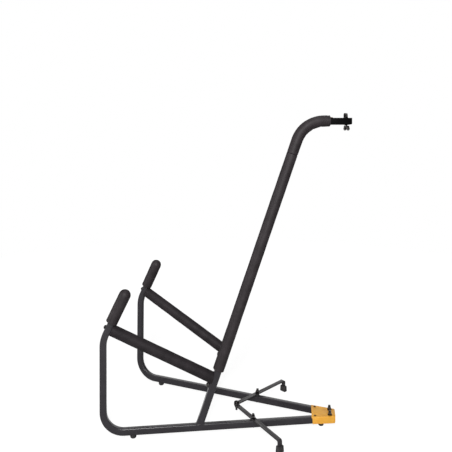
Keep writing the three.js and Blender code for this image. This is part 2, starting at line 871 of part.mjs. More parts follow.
// Rubber tip on the leg's end, wider at the floor, with a pocket for the bar
function makeTip() {
  const block = new THREE.ExtrudeGeometry(roundedOutline(tip_short, tip_long, tip_corner), {
    depth: tip_height,
    bevelEnabled: false,
  });
  const spots = block.attributes.position;
  for (let index = 0; index < spots.count; index += 1) {
    const share = 1 + (tip_top_share - 1) * (spots.getZ(index) / tip_height);
    spots.setX(index, spots.getX(index) * share);
    spots.setY(index, spots.getY(index) * share);
  }
  const pocket = new THREE.BoxGeometry(bar_thick + 2 * seat_gap, bar_width + 2 * seat_gap, tip_height);
  pocket.translate(0, 0, tip_floor + tip_height / 2);
  return cut(solid(block), solid(pocket));
}

function makeSpacer(height) {
  const ring = post(0, 0, rail_top + seat_gap, rail_top + seat_gap + height, spacer_radius, round_sides);
  return cut(ring, post(0, 0, 0, 2 * rail_top, rail_bolt_radius + running_gap));
}

// Bolt through rail, spacer and bar: round head under the rail, thread above the bar
function makeRailBolt(bar_top) {
  const low = foot_height - running_gap;
  const top = bar_top + seat_gap + nut_hub_height + thread_stub;
  const shank = post(0, 0, low - rail_bolt_head_height / 2, top, rail_bolt_radius);
  return join(shank, post(0, 0, low - rail_bolt_head_height, low, rail_bolt_head_radius, small_sides));
}

// Pivot bolt where the bars cross: big domed head above, nut and thread below
function makePivotBolt() {
  const under_head = far_bar_low + bar_thick + seat_gap;
  const shank_end = near_bar_low - seat_gap - pivot_nut_height - pivot_stub;
  return turned([
    [0, shank_end],
    [pivot_bolt_radius, shank_end],
    [pivot_bolt_radius, under_head],
    [pivot_head_radius, under_head],
    ...domeProfile(pivot_head_radius, under_head + pivot_head_rim, pivot_head_height - pivot_head_rim),
  ]);
}

function makePivotNut() {
  const top = near_bar_low - seat_gap;
  const nut = post(0, 0, top - pivot_nut_height, top, pivot_nut_radius, hex_sides);
  return cut(nut, post(0, 0, 0, 2 * rail_top, pivot_bolt_radius + nut_bore_gap));
}

// The part: brackets, then everything on each side
const sides = [['near', -1], ['far', 1]];

function buildBrackets() {
  const levels = [
    ['base', 0, base_plate_top, 'gold_paint'],
    ['top', top_pivot.x, top_plate_top, 'black_paint'],
  ];
  for (const [level, x, z, finish] of levels) {
    addPiece(stand, `${level}_bracket`, geometryOf(makeBracket()), finish).position.set(x, 0, z);
    for (const [name, side] of sides) {
      const rivet = addPiece(stand, `${name}_${level}_rivet`, geometryOf(makeRivet()), 'black_zinc');
      rivet.position.set(x, side * pivot_offset, z);
    }
  }
}

function buildFrame(name, side) {
  const group = frameGroup(side);
  addPiece(group, `${name}_frame_tube`, geometryOf(makeFrameTube(side)), 'black_paint');
  addPiece(group, `${name}_rear_upright`, geometryOf(makeRearUpright(side)), 'black_paint');
  addPiece(group, `${name}_seat_rail`, geometryOf(makeSeatRail()), 'black_paint');
  addPiece(group, `${name}_seat_insert`, geometryOf(makeSeatInsert()), 'zinc');
  addPiece(group, `${name}_seat_lug`, geometryOf(makeSeatLug()), 'black_paint');
  addPiece(group, `${name}_horn_screw`, geometryOf(makeFrontScrew()), 'black_zinc');
  addPiece(group, `${name}_lug_screw`, geometryOf(makeRearScrew()), 'black_zinc');
  addPiece(group, `${name}_rivet_nut`, geometryOf(makeRivetNut()), 'zinc');
  const top_end = flat(top_pivot_reach - tail_length, top_height);
  addPiece(group, `${name}_base_plug`, geometryOf(makeTailPlug(flat(-tail_length, 0))), 'plastic');
  addPiece(group, `${name}_top_plug`, geometryOf(makeTailPlug(top_end)), 'plastic');
  addPiece(group, `${name}_horn_foam`, geometryOf(makeHornFoam()), 'foam');
  addPiece(group, `${name}_seat_foam`, geometryOf(makeSeatFoam()), 'foam');
  addPiece(group, `${name}_lower_foam`, geometryOf(makeLowerFoam()), 'foam');
  addPiece(group, `${name}_upper_foam`, geometryOf(makeUpperFoam(side)), 'foam');
}

function placeAt(mesh, x, y, z, turn = 0) {
  mesh.position.set(x, y, z);
  mesh.rotation.z = turn;
  return mesh;
}

// Lock bolts: on the top bracket, the near one points down, its nut some turns loose, and the far one up
function buildLocks(name, side) {
  const base = framePoint(side, -lock_reach, 0);
  const top = framePoint(side, top_pivot_reach - lock_reach, top_height);
  const spots = [
    ['base', base.x, base.y, base_plate_top, false],
    ['top', top.x, top.y, top_plate_top, side < 0],
  ];
  for (const [level, x, y, z, turned_over] of spots) {
    const stack = sheet + seat_gap + tube_depth;
    const group = new THREE.Group();
    group.position.set(x, y, turned_over ? z - stack : z);
    group.rotation.x = turned_over ? Math.PI : 0;
    stand.add(group);
    const nut_turn = THREE.MathUtils.degToRad(nut_turns[`${name}_${level}`]);
    const drop = turned_over ? top_lower_nut_drop : 0;
    addPiece(group, `${name}_${level}_bolt`, geometryOf(makeLockBolt(drop)), 'black_zinc');
    const nut_shape = geometryOf(makeWingNut(bolt_radius));
    const nut = addPiece(group, `${name}_${level}_wing_nut`, nut_shape, 'black_zinc');
    placeAt(nut, 0, 0, drop, nut_turn);
  }
}

function buildFeet(name, side) {
  const feet = [['front', front_foot_reach, front_foot_radius], ['rear', -rear_foot_reach, rear_foot_radius]];
  for (const [end, reach, radius] of feet) {
    const place = framePoint(side, reach, -half_depth);
    const foot = addPiece(stand, `${name}_${end}_foot`, geometryOf(makeFoot(radius)), 'rubber');
    placeAt(foot, place.x, place.y, 0);
  }
}

function buildOutrigger(name, side) {
  const bar_low = side < 0 ? near_bar_low : far_bar_low;
  const pivot_hole = side < 0 ? pivot_bolt_radius + running_gap / 2 : pivot_hole_radius;
  const bar_top = bar_low + bar_thick;
  const spacer_height = bar_low - seat_gap - rail_top - seat_gap;
  const x = bolt_spot.x;
  const y = side * bolt_spot.y;
  const turn = side * bar_turn;
  placeAt(addPiece(stand, `${name}_bar_spacer`, geometryOf(makeSpacer(spacer_height)), 'plastic'), x, y, 0);
  placeAt(addPiece(stand, `${name}_bar_bolt`, geometryOf(makeRailBolt(bar_top)), 'black_zinc'), x, y, 0);
  const nut_shape = geometryOf(makeWingNut(rail_bolt_radius));
  const nut = addPiece(stand, `${name}_bar_wing_nut`, nut_shape, 'black_zinc');
  placeAt(nut, x, y, bar_top, THREE.MathUtils.degToRad(nut_turns[`${name}_bar`]));
  const bar = makeBar(bar_low, pivot_hole);
  const strip = addPiece(stand, `${name}_outrigger_bar`, geometryOf(bar), 'black_paint');
  placeAt(strip, pivot_spot.x, 0, bar_low, turn);
  const tip_x = pivot_spot.x + bar_leg_length * Math.cos(turn);
  const tip_y = bar_leg_length * Math.sin(turn);
  placeAt(addPiece(stand, `${name}_outrigger_tip`, geometryOf(makeTip()), 'rubber'), tip_x, tip_y, 0, turn);
}

buildBrackets();
for (const [name, side] of sides) {
  buildFrame(name, side);
  buildLocks(name, side);
  buildFeet(name, side);
  buildOutrigger(name, side);
}
placeAt(addPiece(stand, 'pivot_bolt', geometryOf(makePivotBolt()), 'black_zinc'), pivot_spot.x, 0, 0);
placeAt(addPiece(stand, 'pivot_nut', geometryOf(makePivotNut()), 'black_zinc'), pivot_spot.x, 0, 0);

// The origin lies under the middle of the whole length
stand.updateMatrixWorld(true);
const bounds = new THREE.Box3().setFromObject(stand, true);
const middle = -(bounds.min.x + bounds.max.x) / 2;
for (const child of stand.children) child.position.x += middle;

export default stand;
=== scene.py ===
"""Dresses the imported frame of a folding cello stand: coated tubes, foam sleeves, brackets and hardware."""

import logging
import math
from dataclasses import dataclass, field
from enum import Enum
from functools import partial
from typing import Any, Callable, Iterable, Sequence

import bmesh
import bpy
from mathutils import Matrix, Vector, noise

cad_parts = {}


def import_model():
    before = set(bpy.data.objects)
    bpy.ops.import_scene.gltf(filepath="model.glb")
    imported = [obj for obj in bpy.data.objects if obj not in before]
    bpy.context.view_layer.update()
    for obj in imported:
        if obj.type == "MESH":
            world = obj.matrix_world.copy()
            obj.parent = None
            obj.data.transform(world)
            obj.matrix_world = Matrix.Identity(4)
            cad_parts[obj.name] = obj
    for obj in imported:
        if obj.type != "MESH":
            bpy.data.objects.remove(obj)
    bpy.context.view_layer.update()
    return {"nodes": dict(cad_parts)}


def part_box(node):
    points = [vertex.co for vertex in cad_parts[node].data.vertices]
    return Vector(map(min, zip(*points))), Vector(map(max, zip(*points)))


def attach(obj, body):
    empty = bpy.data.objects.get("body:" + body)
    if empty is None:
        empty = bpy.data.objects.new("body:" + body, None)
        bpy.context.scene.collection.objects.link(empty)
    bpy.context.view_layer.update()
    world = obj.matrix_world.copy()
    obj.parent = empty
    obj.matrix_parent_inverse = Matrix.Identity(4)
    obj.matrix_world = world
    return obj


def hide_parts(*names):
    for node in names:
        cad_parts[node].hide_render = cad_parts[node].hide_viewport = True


LOG = logging.getLogger("cello_stand")
MM = 0.001
MERGE = 0.01 * MM
WHITE = (1.0, 1.0, 1.0, 1.0)

Colour = tuple[float, float, float, float]
Triple = tuple[float, float, float]
Range = tuple[float, float]


class Side(Enum):
    """The two frames of the stand, with the sign of their side along Y."""

    NEAR = -1
    FAR = 1

    @property
    def label(self) -> str:
        """The word that starts the names of this side's pieces."""
        return self.name.lower()

    @property
    def frame_body(self) -> str:
        """Name of the body of this side's frame."""
        return f"{self.label}_frame"


def ramp(value: float, limits: Range) -> float:
    """Share from 0 at the first limit to 1 at the second, held inside that range.

    Args:
        value: The value.
        limits: Values that give 0 and 1.

    Returns:
        The clamped share.
    """
    return max(0.0, min(1.0, (value - limits[0]) / (limits[1] - limits[0])))


def srgb(red: float, green: float, blue: float) -> Colour:
    """Turns screen colour values from 0 to 255 into scene-linear colour.

    Args:
        red: Red screen value.
        green: Green screen value.
        blue: Blue screen value.

    Returns:
        Linear red, green, blue and an alpha of 1.
    """
    def linear(value: float) -> float:
        """Linear value of one screen channel."""
        share = value / 255
        return share / 12.92 if share <= 0.04045 else ((share + 0.055) / 1.055) ** 2.4

    return (linear(red), linear(green), linear(blue), 1.0)


class Socket:
    """A shader output on which Python operators add Math nodes."""

    def __init__(self, graph: "Graph", output: bpy.types.NodeSocket) -> None:
        """Wraps one output of a graph."""
        self.graph = graph
        self.output = output

    def _math(self, operation: str, first: Any, second: Any = None) -> "Socket":
        """Adds a Math node.

        Args:
            operation: Name of the Math operation.
            first: Left operand, a socket or a number.
            second: Right operand, a socket, a number or None.

        Returns:
            The node's value.
        """
        links = {0: first} if second is None else {0: first, 1: second}
        return self.graph.node("ShaderNodeMath", {"operation": operation}, links)

    def __add__(self, other: Any) -> "Socket":
        """Sum."""
        return self._math("ADD", self, other)

    __radd__ = __add__

    def __sub__(self, other: Any) -> "Socket":
        """Difference."""
        return self._math("SUBTRACT", self, other)

    def __rsub__(self, other: Any) -> "Socket":
        """Difference with the socket on the right."""
        return self._math("SUBTRACT", other, self)

    def __mul__(self, other: Any) -> "Socket":
        """Product."""
        return self._math("MULTIPLY", self, other)

    __rmul__ = __mul__

    def above(self, low: float, high: float) -> "Socket":
        """Share from 0 at low to 1 at high, held inside that range.

        Args:
            low: Value that gives 0.
            high: Value that gives 1.

        Returns:
            The clamped share.
        """
        names = {"From Min": low, "From Max": high, "Value": self}
        return self.graph.node("ShaderNodeMapRange", {"clamp": True}, names)


class Graph:
    """The node tree of one material, with one method for every kind of node."""

    def __init__(self, name: str) -> None:
        """Starts a material with a Principled shader.

        Args:
            name: Name of the material.
        """
        self.material = bpy.data.materials.new(name)
        self.material.use_nodes = True
        self.tree = self.material.node_tree
        self.shader = self.tree.nodes["Principled BSDF"]
        coordinates = self.tree.nodes.new("ShaderNodeTexCoord")
        self.place = Socket(self, coordinates.outputs["Object"])

    def node(self, kind: str, settings: dict[str, Any], values: dict[Any, Any], output: Any = 0) -> Socket:
        """Adds a node.

        Args:
            kind: Type name of the node.
            settings: Attributes set before the sockets.
            values: Values or sockets by input name or number.
            output: Name or number of the output that is wanted.

        Returns:
            The wanted output.
        """
        made = self.tree.nodes.new(kind)
        for name, value in settings.items():
            setattr(made, name, value)
        for name, value in values.items():
            self.feed(made.inputs[name], value)
        return Socket(self, made.outputs[output])

    def feed(self, target: bpy.types.NodeSocket, value: Any) -> None:
        """Sets a socket to a value or links a socket to it.

        Args:
            target: The input.
            value: A value or a socket.
        """
        if isinstance(value, Socket):
            self.tree.links.new(value.output, target)
        else:
            target.default_value = value

    def set(self, **values: Any) -> None:
        """Sets or links inputs of the Principled shader, with underscores for spaces."""
        for name, value in values.items():
            self.feed(self.shader.inputs[name.replace("_", " ")], value)

    def noise(self, grain: float, detail: float = 3.0, stretch: Triple | None = None) -> Socket:
        """Noise on object coordinates.

        Args:
            grain: Size of the pattern in metres.
            detail: Octaves of the noise.
            stretch: Scale of the coordinates along X, Y and Z, or None.

        Returns:
            The noise value, around one half.
        """
        place = self.place
        if stretch is not None:
            place = self.node("ShaderNodeMapping", {}, {"Vector": self.place, "Scale": stretch}, "Vector")
        values = {"Vector": place, "Scale": 1.0 / grain, "Detail": detail}
        return self.node("ShaderNodeTexNoise", {"noise_dimensions": "3D"}, values, "Fac")

    def mix(self, share: Any, first: Any, second: Any) -> Socket:
        """Colour between two colours.

        Args:
            share: Share of the second colour, a socket or a number.
            first: Colour or socket at 0.
            second: Colour or socket at 1.

        Returns:
            The mixed colour.
        """
        made = self.tree.nodes.new("ShaderNodeMix")
        made.data_type = "RGBA"
        colours = [entry for entry in made.inputs if entry.type == "RGBA"]
        self.feed(made.inputs[0], share)
        self.feed(colours[0], first)
        self.feed(colours[1], second)
        return Socket(self, next(entry for entry in made.outputs if entry.type == "RGBA"))

    def bump(self, height: Any, depth: float, strength: float = 1.0) -> None:
        """Feeds a bump of a real depth in metres into the shader's normal."""
        values = {"Height": height, "Distance": depth, "Strength": strength}
        self.set(Normal=self.node("ShaderNodeBump", {}, values, "Normal"))


@dataclass(frozen=True)
class Finish:
    """A surface finish that builds its own material."""

    name: str
    slot: str

    def build(self) -> bpy.types.Material:
        """Builds the material."""
        raise NotImplementedError


@dataclass(frozen=True)
class PowderCoat(Finish):
    """Satin black powder coat with orange peel, faint blotches and rubbed streaks."""

    dark: Colour = srgb(37, 35, 38)
    light: Colour = srgb(52, 49, 54)
    rubbed: Colour = srgb(80, 77, 84)
    peel_grain: float = 1.1 * MM
    peel_depth: float = 0.06 * MM
    blotch_grain: float = 34 * MM
    streak_grain: float = 5 * MM
    streak_stretch: Triple = (0.25, 2.0, 0.6)
    rub_range: Range = (0.66, 0.8)
    rub_share: float = 0.35
    rub_dulling: float = 0.25
    roughness: float = 0.3
    roughness_spread: float = 0.1
    specular: float = 0.5

    def build(self) -> bpy.types.Material:
        """Builds the coat.

        Returns:
            The material.
        """
        graph = Graph(self.name)
        blotch = graph.noise(self.blotch_grain, 4.0)
        streak = graph.noise(self.streak_grain, 6.0, self.streak_stretch)
        worn = streak.above(*self.rub_range) * self.rub_share
        coat = graph.mix(blotch, self.dark, self.light)
        base = self.roughness - self.roughness_spread / 2
        graph.set(Base_Color=graph.mix(worn, coat, self.rubbed))
        graph.set(Roughness=blotch * self.roughness_spread + worn * self.rub_dulling + base)
        graph.bump(graph.noise(self.peel_grain, 2.0), self.peel_depth)
        graph.set(Specular_IOR_Level=self.specular)
        return graph.material


@dataclass(frozen=True)
class GoldCoat(Finish):
    """Warm yellow coat of the base bracket, a little uneven, with fine draw lines of the sheet."""

    deep: Colour = srgb(228, 160, 54)
    bright: Colour = srgb(245, 184, 74)
    pale: Colour = srgb(250, 212, 136)
    cloud_grain: float = 22 * MM
    cloud_range: Range = (0.25, 0.75)
    cloud_dulling: float = 0.1
    line_grain: float = 1.6 * MM
    line_stretch: Triple = (0.06, 1.0, 1.0)
    line_dulling: float = 0.12
    line_depth: float = 0.03 * MM
    speck_grain: float = 2.4 * MM
    speck_range: Range = (0.74, 0.84)
    speck_share: float = 0.4
    roughness: float = 0.42
    specular: float = 0.35

    def build(self) -> bpy.types.Material:
        """Builds the coat.

        Returns:
            The material.
        """
        graph = Graph(self.name)
        cloud = graph.noise(self.cloud_grain, 4.0)
        lines = graph.noise(self.line_grain, 2.0, self.line_stretch)
        speck = graph.noise(self.speck_grain, 2.0).above(*self.speck_range)
        colour = graph.mix(cloud.above(*self.cloud_range), self.deep, self.bright)
        graph.set(Base_Color=graph.mix(speck * self.speck_share, colour, self.pale))
        dull = lines * self.line_dulling + cloud * self.cloud_dulling + self.roughness
        graph.set(Roughness=dull, Specular_IOR_Level=self.specular)
        graph.bump(lines, self.line_depth)
        return graph.material


@dataclass(frozen=True)
class ZincPlate(Finish):
    """Zinc plating on small steel hardware, black unless told otherwise, bright where it is handled; where
    the share of bright marks is large, the same marks are painted glints.
    """

    dark: Colour = srgb(22, 21, 23)
    brown: Colour = srgb(46, 40, 38)
    bright: Colour = srgb(168, 165, 166)
    cloud_grain: float = 5 * MM
    cloud_range: Range = (0.35, 0.75)
    scuff_grain: float = 2.2 * MM
    scuff_range: Range = (0.62, 0.78)
    scuff_and_glint_share: float = 0.3
    metallic: float = 0.75
    roughness: float = 0.28
    roughness_drop: float = 0.06
    roughness_spread: float = 0.18
    pit_grain: float = 0.6 * MM
    pit_depth: float = 0.02 * MM

    def build(self) -> bpy.types.Material:
        """Builds the plating.

        Returns:
            The material.
        """
        graph = Graph(self.name)
        cloud = graph.noise(self.cloud_grain, 3.0)
        # Bright marks: wear on most plating, painted glints where their share is large.
        wear_and_glint_marks = graph.noise(self.scuff_grain, 6.0).above(*self.scuff_range) * self.scuff_and_glint_share
        plated = graph.mix(cloud.above(*self.cloud_range), self.dark, self.brown)
        dull = cloud * self.roughness_spread + (self.roughness - self.roughness_drop)
        graph.set(Base_Color=graph.mix(wear_and_glint_marks, plated, self.bright))
        graph.set(Metallic=self.metallic, Roughness=dull)
        graph.bump(graph.noise(self.pit_grain, 2.0), self.pit_depth)
        return graph.material


@dataclass(frozen=True)
class FoamSkin(Finish):
    """Closed-cell foam tube: charcoal, dull, with open cells darkened at their middles as painted shade,
    scuffs and dust in its skin.
    """

    dark: Colour = srgb(32, 27, 29)
    light: Colour = srgb(50, 44, 47)
    dusty: Colour = srgb(72, 65, 68)
    roughness: float = 0.62
    roughness_spread: float = 0.1
    specular: float = 0.32
    cell_size: float = 0.9 * MM
    cell_height: float = 0.7
    pit_range: Range = (0.05, 0.4)
    pit_shade_share: float = 0.25
    patch_grain: float = 26 * MM
    patch_range: Range = (0.25, 0.8)
    fleck_grain: float = 1.8 * MM
    fleck_height: float = 0.6
    dust_range: Range = (0.6, 0.85)
    dust_share: float = 0.35
    skin_depth: float = 0.16 * MM
    skin_strength: float = 0.8

    def build(self) -> bpy.types.Material:
        """Builds the foam.

        Returns:
            The material.
        """
        graph = Graph(self.name)
        patch = graph.noise(self.patch_grain, 4.0)
        fleck = graph.noise(self.fleck_grain, 3.0)
        values = {"Vector": graph.place, "Scale": 1.0 / self.cell_size}
        cells = graph.node("ShaderNodeTexVoronoi", {"feature": "F1"}, values, "Distance")
        skin = graph.mix(patch.above(*self.patch_range), self.dark, self.light)
        dust = fleck.above(*self.dust_range) * self.dust_share
        # The cells' middles, which the bump sinks, are darkened as painted shade in the pits.
        shaded_pits = (1.0 - cells.above(*self.pit_range)) * self.pit_shade_share
        dusted = graph.mix(dust, skin, self.dusty)
        graph.set(Base_Color=graph.mix(shaded_pits, dusted, self.dark))
        graph.set(Roughness=self.roughness - patch * self.roughness_spread, Specular_IOR_Level=self.specular)
        graph.bump(cells * self.cell_height + fleck * self.fleck_height, self.skin_depth, self.skin_strength)
        return graph.material


@dataclass(frozen=True)
class Rubber(Finish):
    """Moulded black rubber of the feet and leg tips, chalky where it scrapes the floor."""

    dark: Colour = srgb(26, 24, 25)
    grey: Colour = srgb(50, 47, 47)
    grain: float = 0.8 * MM
    grain_depth: float = 0.05 * MM
    patch_grain: float = 7 * MM
    patch_range: Range = (0.45, 0.8)
    roughness: float = 0.6
    roughness_spread: float = 0.2

    def build(self) -> bpy.types.Material:
        """Builds the rubber.

        Returns:
            The material.
        """
        graph = Graph(self.name)
        patch = graph.noise(self.patch_grain, 4.0)
        graph.set(Base_Color=graph.mix(patch.above(*self.patch_range), self.dark, self.grey))
        graph.set(Roughness=patch * self.roughness_spread + self.roughness)
        graph.bump(graph.noise(self.grain, 3.0), self.grain_depth)
        return graph.material


@dataclass(frozen=True)
class MouldedPlastic(Finish):
    """Matt black nylon with the fine grain of its mould."""

    dark: Colour = srgb(34, 34, 36)
    light: Colour = srgb(50, 50, 53)
    grain: float = 0.5 * MM
    grain_depth: float = 0.03 * MM
    patch_grain: float = 9 * MM
    roughness: float = 0.45
    roughness_spread: float = 0.15

    def build(self) -> bpy.types.Material:
        """Builds the plastic.

        Returns:
            The material.
        """
        graph = Graph(self.name)
        grain = graph.noise(self.grain, 2.0)
        graph.set(Base_Color=graph.mix(graph.noise(self.patch_grain), self.dark, self.light))
        graph.set(Roughness=grain * self.roughness_spread + self.roughness)
        graph.bump(grain, self.grain_depth)
        return graph.material


@dataclass
class Finishes:
    """Every finish of the stand, each built once."""

    tube: PowderCoat = PowderCoat("satin_black_coat", "black_paint")
    bracket: PowderCoat = PowderCoat("bracket_black_coat", "black_paint", dark=srgb(6, 6, 7),
                                     light=srgb(11, 10, 11), rubbed=srgb(24, 23, 25), roughness=0.5,
                                     specular=0.05)
    bar: PowderCoat = PowderCoat("bar_grey_coat", "black_paint", dark=srgb(42, 40, 42),
                                 light=srgb(58, 55, 57), roughness=0.42, specular=0.35)
    gold: GoldCoat = GoldCoat("gold_bracket_coat", "gold_paint")
    hardware: ZincPlate = ZincPlate("black_zinc", "black_zinc")
    # Brown rivet heads, darker than the gold coat round them: partly the coat's own colour over the rivets,
    # partly painted shade.
    rivet: ZincPlate = ZincPlate("rivet_brown_painted_shade", "black_zinc", dark=srgb(70, 48, 26), brown=srgb(120, 84, 44),
                                 scuff_and_glint_share=0.2)
    nut: ZincPlate = ZincPlate("handled_zinc", "black_zinc", scuff_and_glint_share=0.6, dark=srgb(28, 27, 29),
                               brown=srgb(56, 50, 48))
    # Lighter plating with a large share of bright marks: painted glints on the top wing nuts and the lug
    # screw.
    painted_glint_plating: ZincPlate = ZincPlate("painted_glint_zinc", "black_zinc", scuff_and_glint_share=0.8,
                                        brown=srgb(120, 116, 114))
    plain_zinc: ZincPlate = ZincPlate("bright_zinc", "zinc_steel", dark=srgb(164, 167, 170),
                                      brown=srgb(190, 192, 192), bright=srgb(220, 220, 218))
    foam: FoamSkin = FoamSkin("charcoal_foam", "black_foam")
    seat_foam: FoamSkin = FoamSkin("seat_foam", "black_foam", dark=srgb(31, 28, 30), light=srgb(48, 43, 46),
                                   specular=0.16)
    rubber: Rubber = Rubber("black_rubber", "black_rubber")
    tip: Rubber = Rubber("tip_rubber", "black_rubber", dark=srgb(38, 36, 37), grey=srgb(70, 66, 66))
    plastic: MouldedPlastic = MouldedPlastic("black_nylon", "black_plastic")
    built: dict[str, bpy.types.Material] = field(default_factory=dict)

    def material(self, finish: Finish) -> bpy.types.Material:
        """Gives the material of a finish, built at its first use.

        Args:
            finish: The finish.

        Returns:
            Its material.
        """
        if finish.name not in self.built:
            self.built[finish.name] = finish.build()
        return self.built[finish.name]


@dataclass
class Station:
    """One ring of a swept piece: its place and way in the frame's plane, and the size of its section."""

    place: Vector
    way: Vector
    wide: float = 1.0
    deep: float = 1.0

    def matrix(self) -> Matrix:
        """Takes a section in the XY plane to this ring.

        Returns:
            The matrix, with X across the frame's plane, Y in it and Z along the way.
        """
        across = Vector((0.0, 0.0, 1.0))
        way = Vector((self.way.x, self.way.y, 0.0)).normalized()
        inward = way.cross(across)
        turn = Matrix((across, inward, way)).transposed().to_4x4()
        place = Matrix.Translation(Vector((self.place.x, self.place.y, 0.0)))
        return place @ turn @ Matrix.Diagonal((self.wide, self.deep, 1.0, 1.0))


@dataclass
class Route:
    """A line through corner points in the frame's plane, with a round bend at each inner corner."""

    corners: list[Vector]
    radii: list[float]
    pitch: float = 6 * MM
    bend_steps: int = 28

    def bend(self, index: int, before: Vector, after: Vector) -> list[tuple[Vector, Vector]]:
        """Rounds one inner corner.

        Args:
            index: Number of the bend, from the start.
            before: Way of the straight before it.
            after: Way of the straight after it.

        Returns:
            Places on the bend, each with its way.
        """
        radius = self.radii[index]
        turn = math.atan2(before.x * after.y - before.y * after.x, before.dot(after))
        start = self.corners[index + 1] - before * (radius * math.tan(abs(turn) / 2))
        centre = start + Vector((-before.y, before.x)) * math.copysign(1.0, turn) * radius
        turns = [Matrix.Rotation(turn * step / self.bend_steps, 2) for step in range(self.bend_steps + 1)]
        return [(centre + turned @ (start - centre), turned @ before) for turned in turns]

    def stations(self) -> list[Station]:
        """Divides the whole line.

        Returns:
            Stations close together on straights and in the bends, from end to end.
        """
        ways = [(end - start).normalized() for start, end in zip(self.corners, self.corners[1:])]
        spots = [(self.corners[0].copy(), ways[0].copy())]
        for index in range(len(self.radii)):
            spots += self.bend(index, ways[index], ways[index + 1])
        spots.append((self.corners[-1].copy(), ways[-1].copy()))
        filled: list[Station] = []
        for (start, way), (end, _) in zip(spots, spots[1:]):
            count = max(1, round((end - start).length / self.pitch))
            for step in range(count):
                here = (end - start).normalized() if step else way
                filled.append(Station(start.lerp(end, step / count), here))
        filled.append(Station(*spots[-1]))
        return filled


@dataclass(frozen=True)
class Plan:
    """Driving sizes of the stand, in metres, and its lines in the plane of one frame.

    The drawn tubes are a little larger than their solids, by the growths on each side, as the photograph
    shows.
    """

    tube_depth: float = 16 * MM
    tube_width: float = 12 * MM
    tube_corner: float = 2.6 * MM
    depth_growth: float = 1.2 * MM
    upright_growth: float = 1.9 * MM
    width_growth: float = 1.0 * MM
    spread: float = math.radians(14.34)
    hinge_lean: float = math.radians(3.15)
    front_reach: float = 584.2 * MM
    front_bend: float = 57 * MM
    horn_corner_height: float = 251 * MM
    horn_bend: float = 80 * MM
    horn_lean: float = math.radians(25.85)
    horn_length: float = 131 * MM
    tail_length: float = 50 * MM
    upright_reach: float = 327 * MM
    upright_lean: float = math.radians(19.12)
    top_height: float = 837.8 * MM
    top_bend: float = 78 * MM
    seat_front_height: float = 280.9 * MM
    seat_rear_height: float = 129.3 * MM
    foam_radius: float = 15.5 * MM
    horn_foam_start: float = 51 * MM
    upright_foam_start: float = 163.5 * MM
    seam_height: float = 747 * MM
    top_foam_gap: float = 6.5 * MM
    bracket_front: float = 9.5 * MM
    sheet: float = 1.5 * MM
    seat_gap: float = 0.3 * MM

    @property
    def half_depth(self) -> float:
        """Half the tube's depth."""
        return self.tube_depth / 2

    @property
    def pivot(self) -> Vector:
        """Middle of the far tube at its base rivet, worked out from the frame's boxes.

        Returns:
            The point, in the stand's own axes.
        """
        low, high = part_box("far_base_rivet")
        bracket_low, bracket_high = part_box("base_bracket")
        return Vector((bracket_low.x + self.bracket_front, (low.y + high.y) / 2,
                       bracket_high.z - self.sheet - self.seat_gap - self.half_depth))

    @property
    def hinge_way(self) -> Vector:
        """Way of the line through a base rivet and its top rivet."""
        return Vector((math.sin(self.hinge_lean), 0.0, math.cos(self.hinge_lean)))

    def rail_way(self, side: Side) -> Vector:
        """Way of a rail, from the base bracket to the front."""
        return Vector((-math.cos(self.spread), side.value * math.sin(self.spread), 0.0))

    def matrix(self, side: Side) -> Matrix:
        """Takes points of a frame's plane into the stand's own axes.

        Args:
            side: The frame.

        Returns:
            The matrix, with X along the rail, Y up the plane and Z across it.
        """
        along = self.rail_way(side)
        up = along.cross(self.hinge_way.cross(along).normalized()).normalized()
        turn = Matrix((along, up, along.cross(up))).transposed().to_4x4()
        place = self.pivot
        place.y *= side.value
        return Matrix.Translation(place) @ turn

    @property
    def horn_way(self) -> Vector:
        """Way of the horn, from its bend to its tip."""
        return Vector((-math.sin(self.horn_lean), math.cos(self.horn_lean)))

    @property
    def upright_way(self) -> Vector:
        """Way of the rear upright, from its foot to the top."""
        return Vector((-math.sin(self.upright_lean), math.cos(self.upright_lean)))

    @property
    def horn_corner(self) -> Vector:
        """Point where the lines of front upright and horn meet."""
        return Vector((self.front_reach, self.horn_corner_height))

    @property
    def upright_foot(self) -> Vector:
        """Point where the lines of rear upright and rail meet."""
        return Vector((self.upright_reach, 0.0))

    @property
    def seat_front(self) -> Vector:
        """Point where the lines of seat rail and horn meet."""
        rise = self.seat_front_height - self.horn_corner_height
        return self.horn_corner + self.horn_way * (rise / self.horn_way.y)

    @property
    def seat_rear(self) -> Vector:
        """Point where the lines of seat rail and rear upright meet."""
        return self.upright_foot + self.upright_way * (self.seat_rear_height / self.upright_way.y)

    @property
    def top_corner(self) -> Vector:
        """Point where the lines of rear upright and top tail meet."""
        return self.upright_foot + self.upright_way * (self.top_height / self.upright_way.y)

    @property
    def top_pivot(self) -> Vector:
        """Point of the top rivet on the top tail."""
        run = self.hinge_way.dot(self.rail_way(Side.NEAR))
        return Vector((self.top_height * run / math.sqrt(1.0 - run * run), self.top_height))


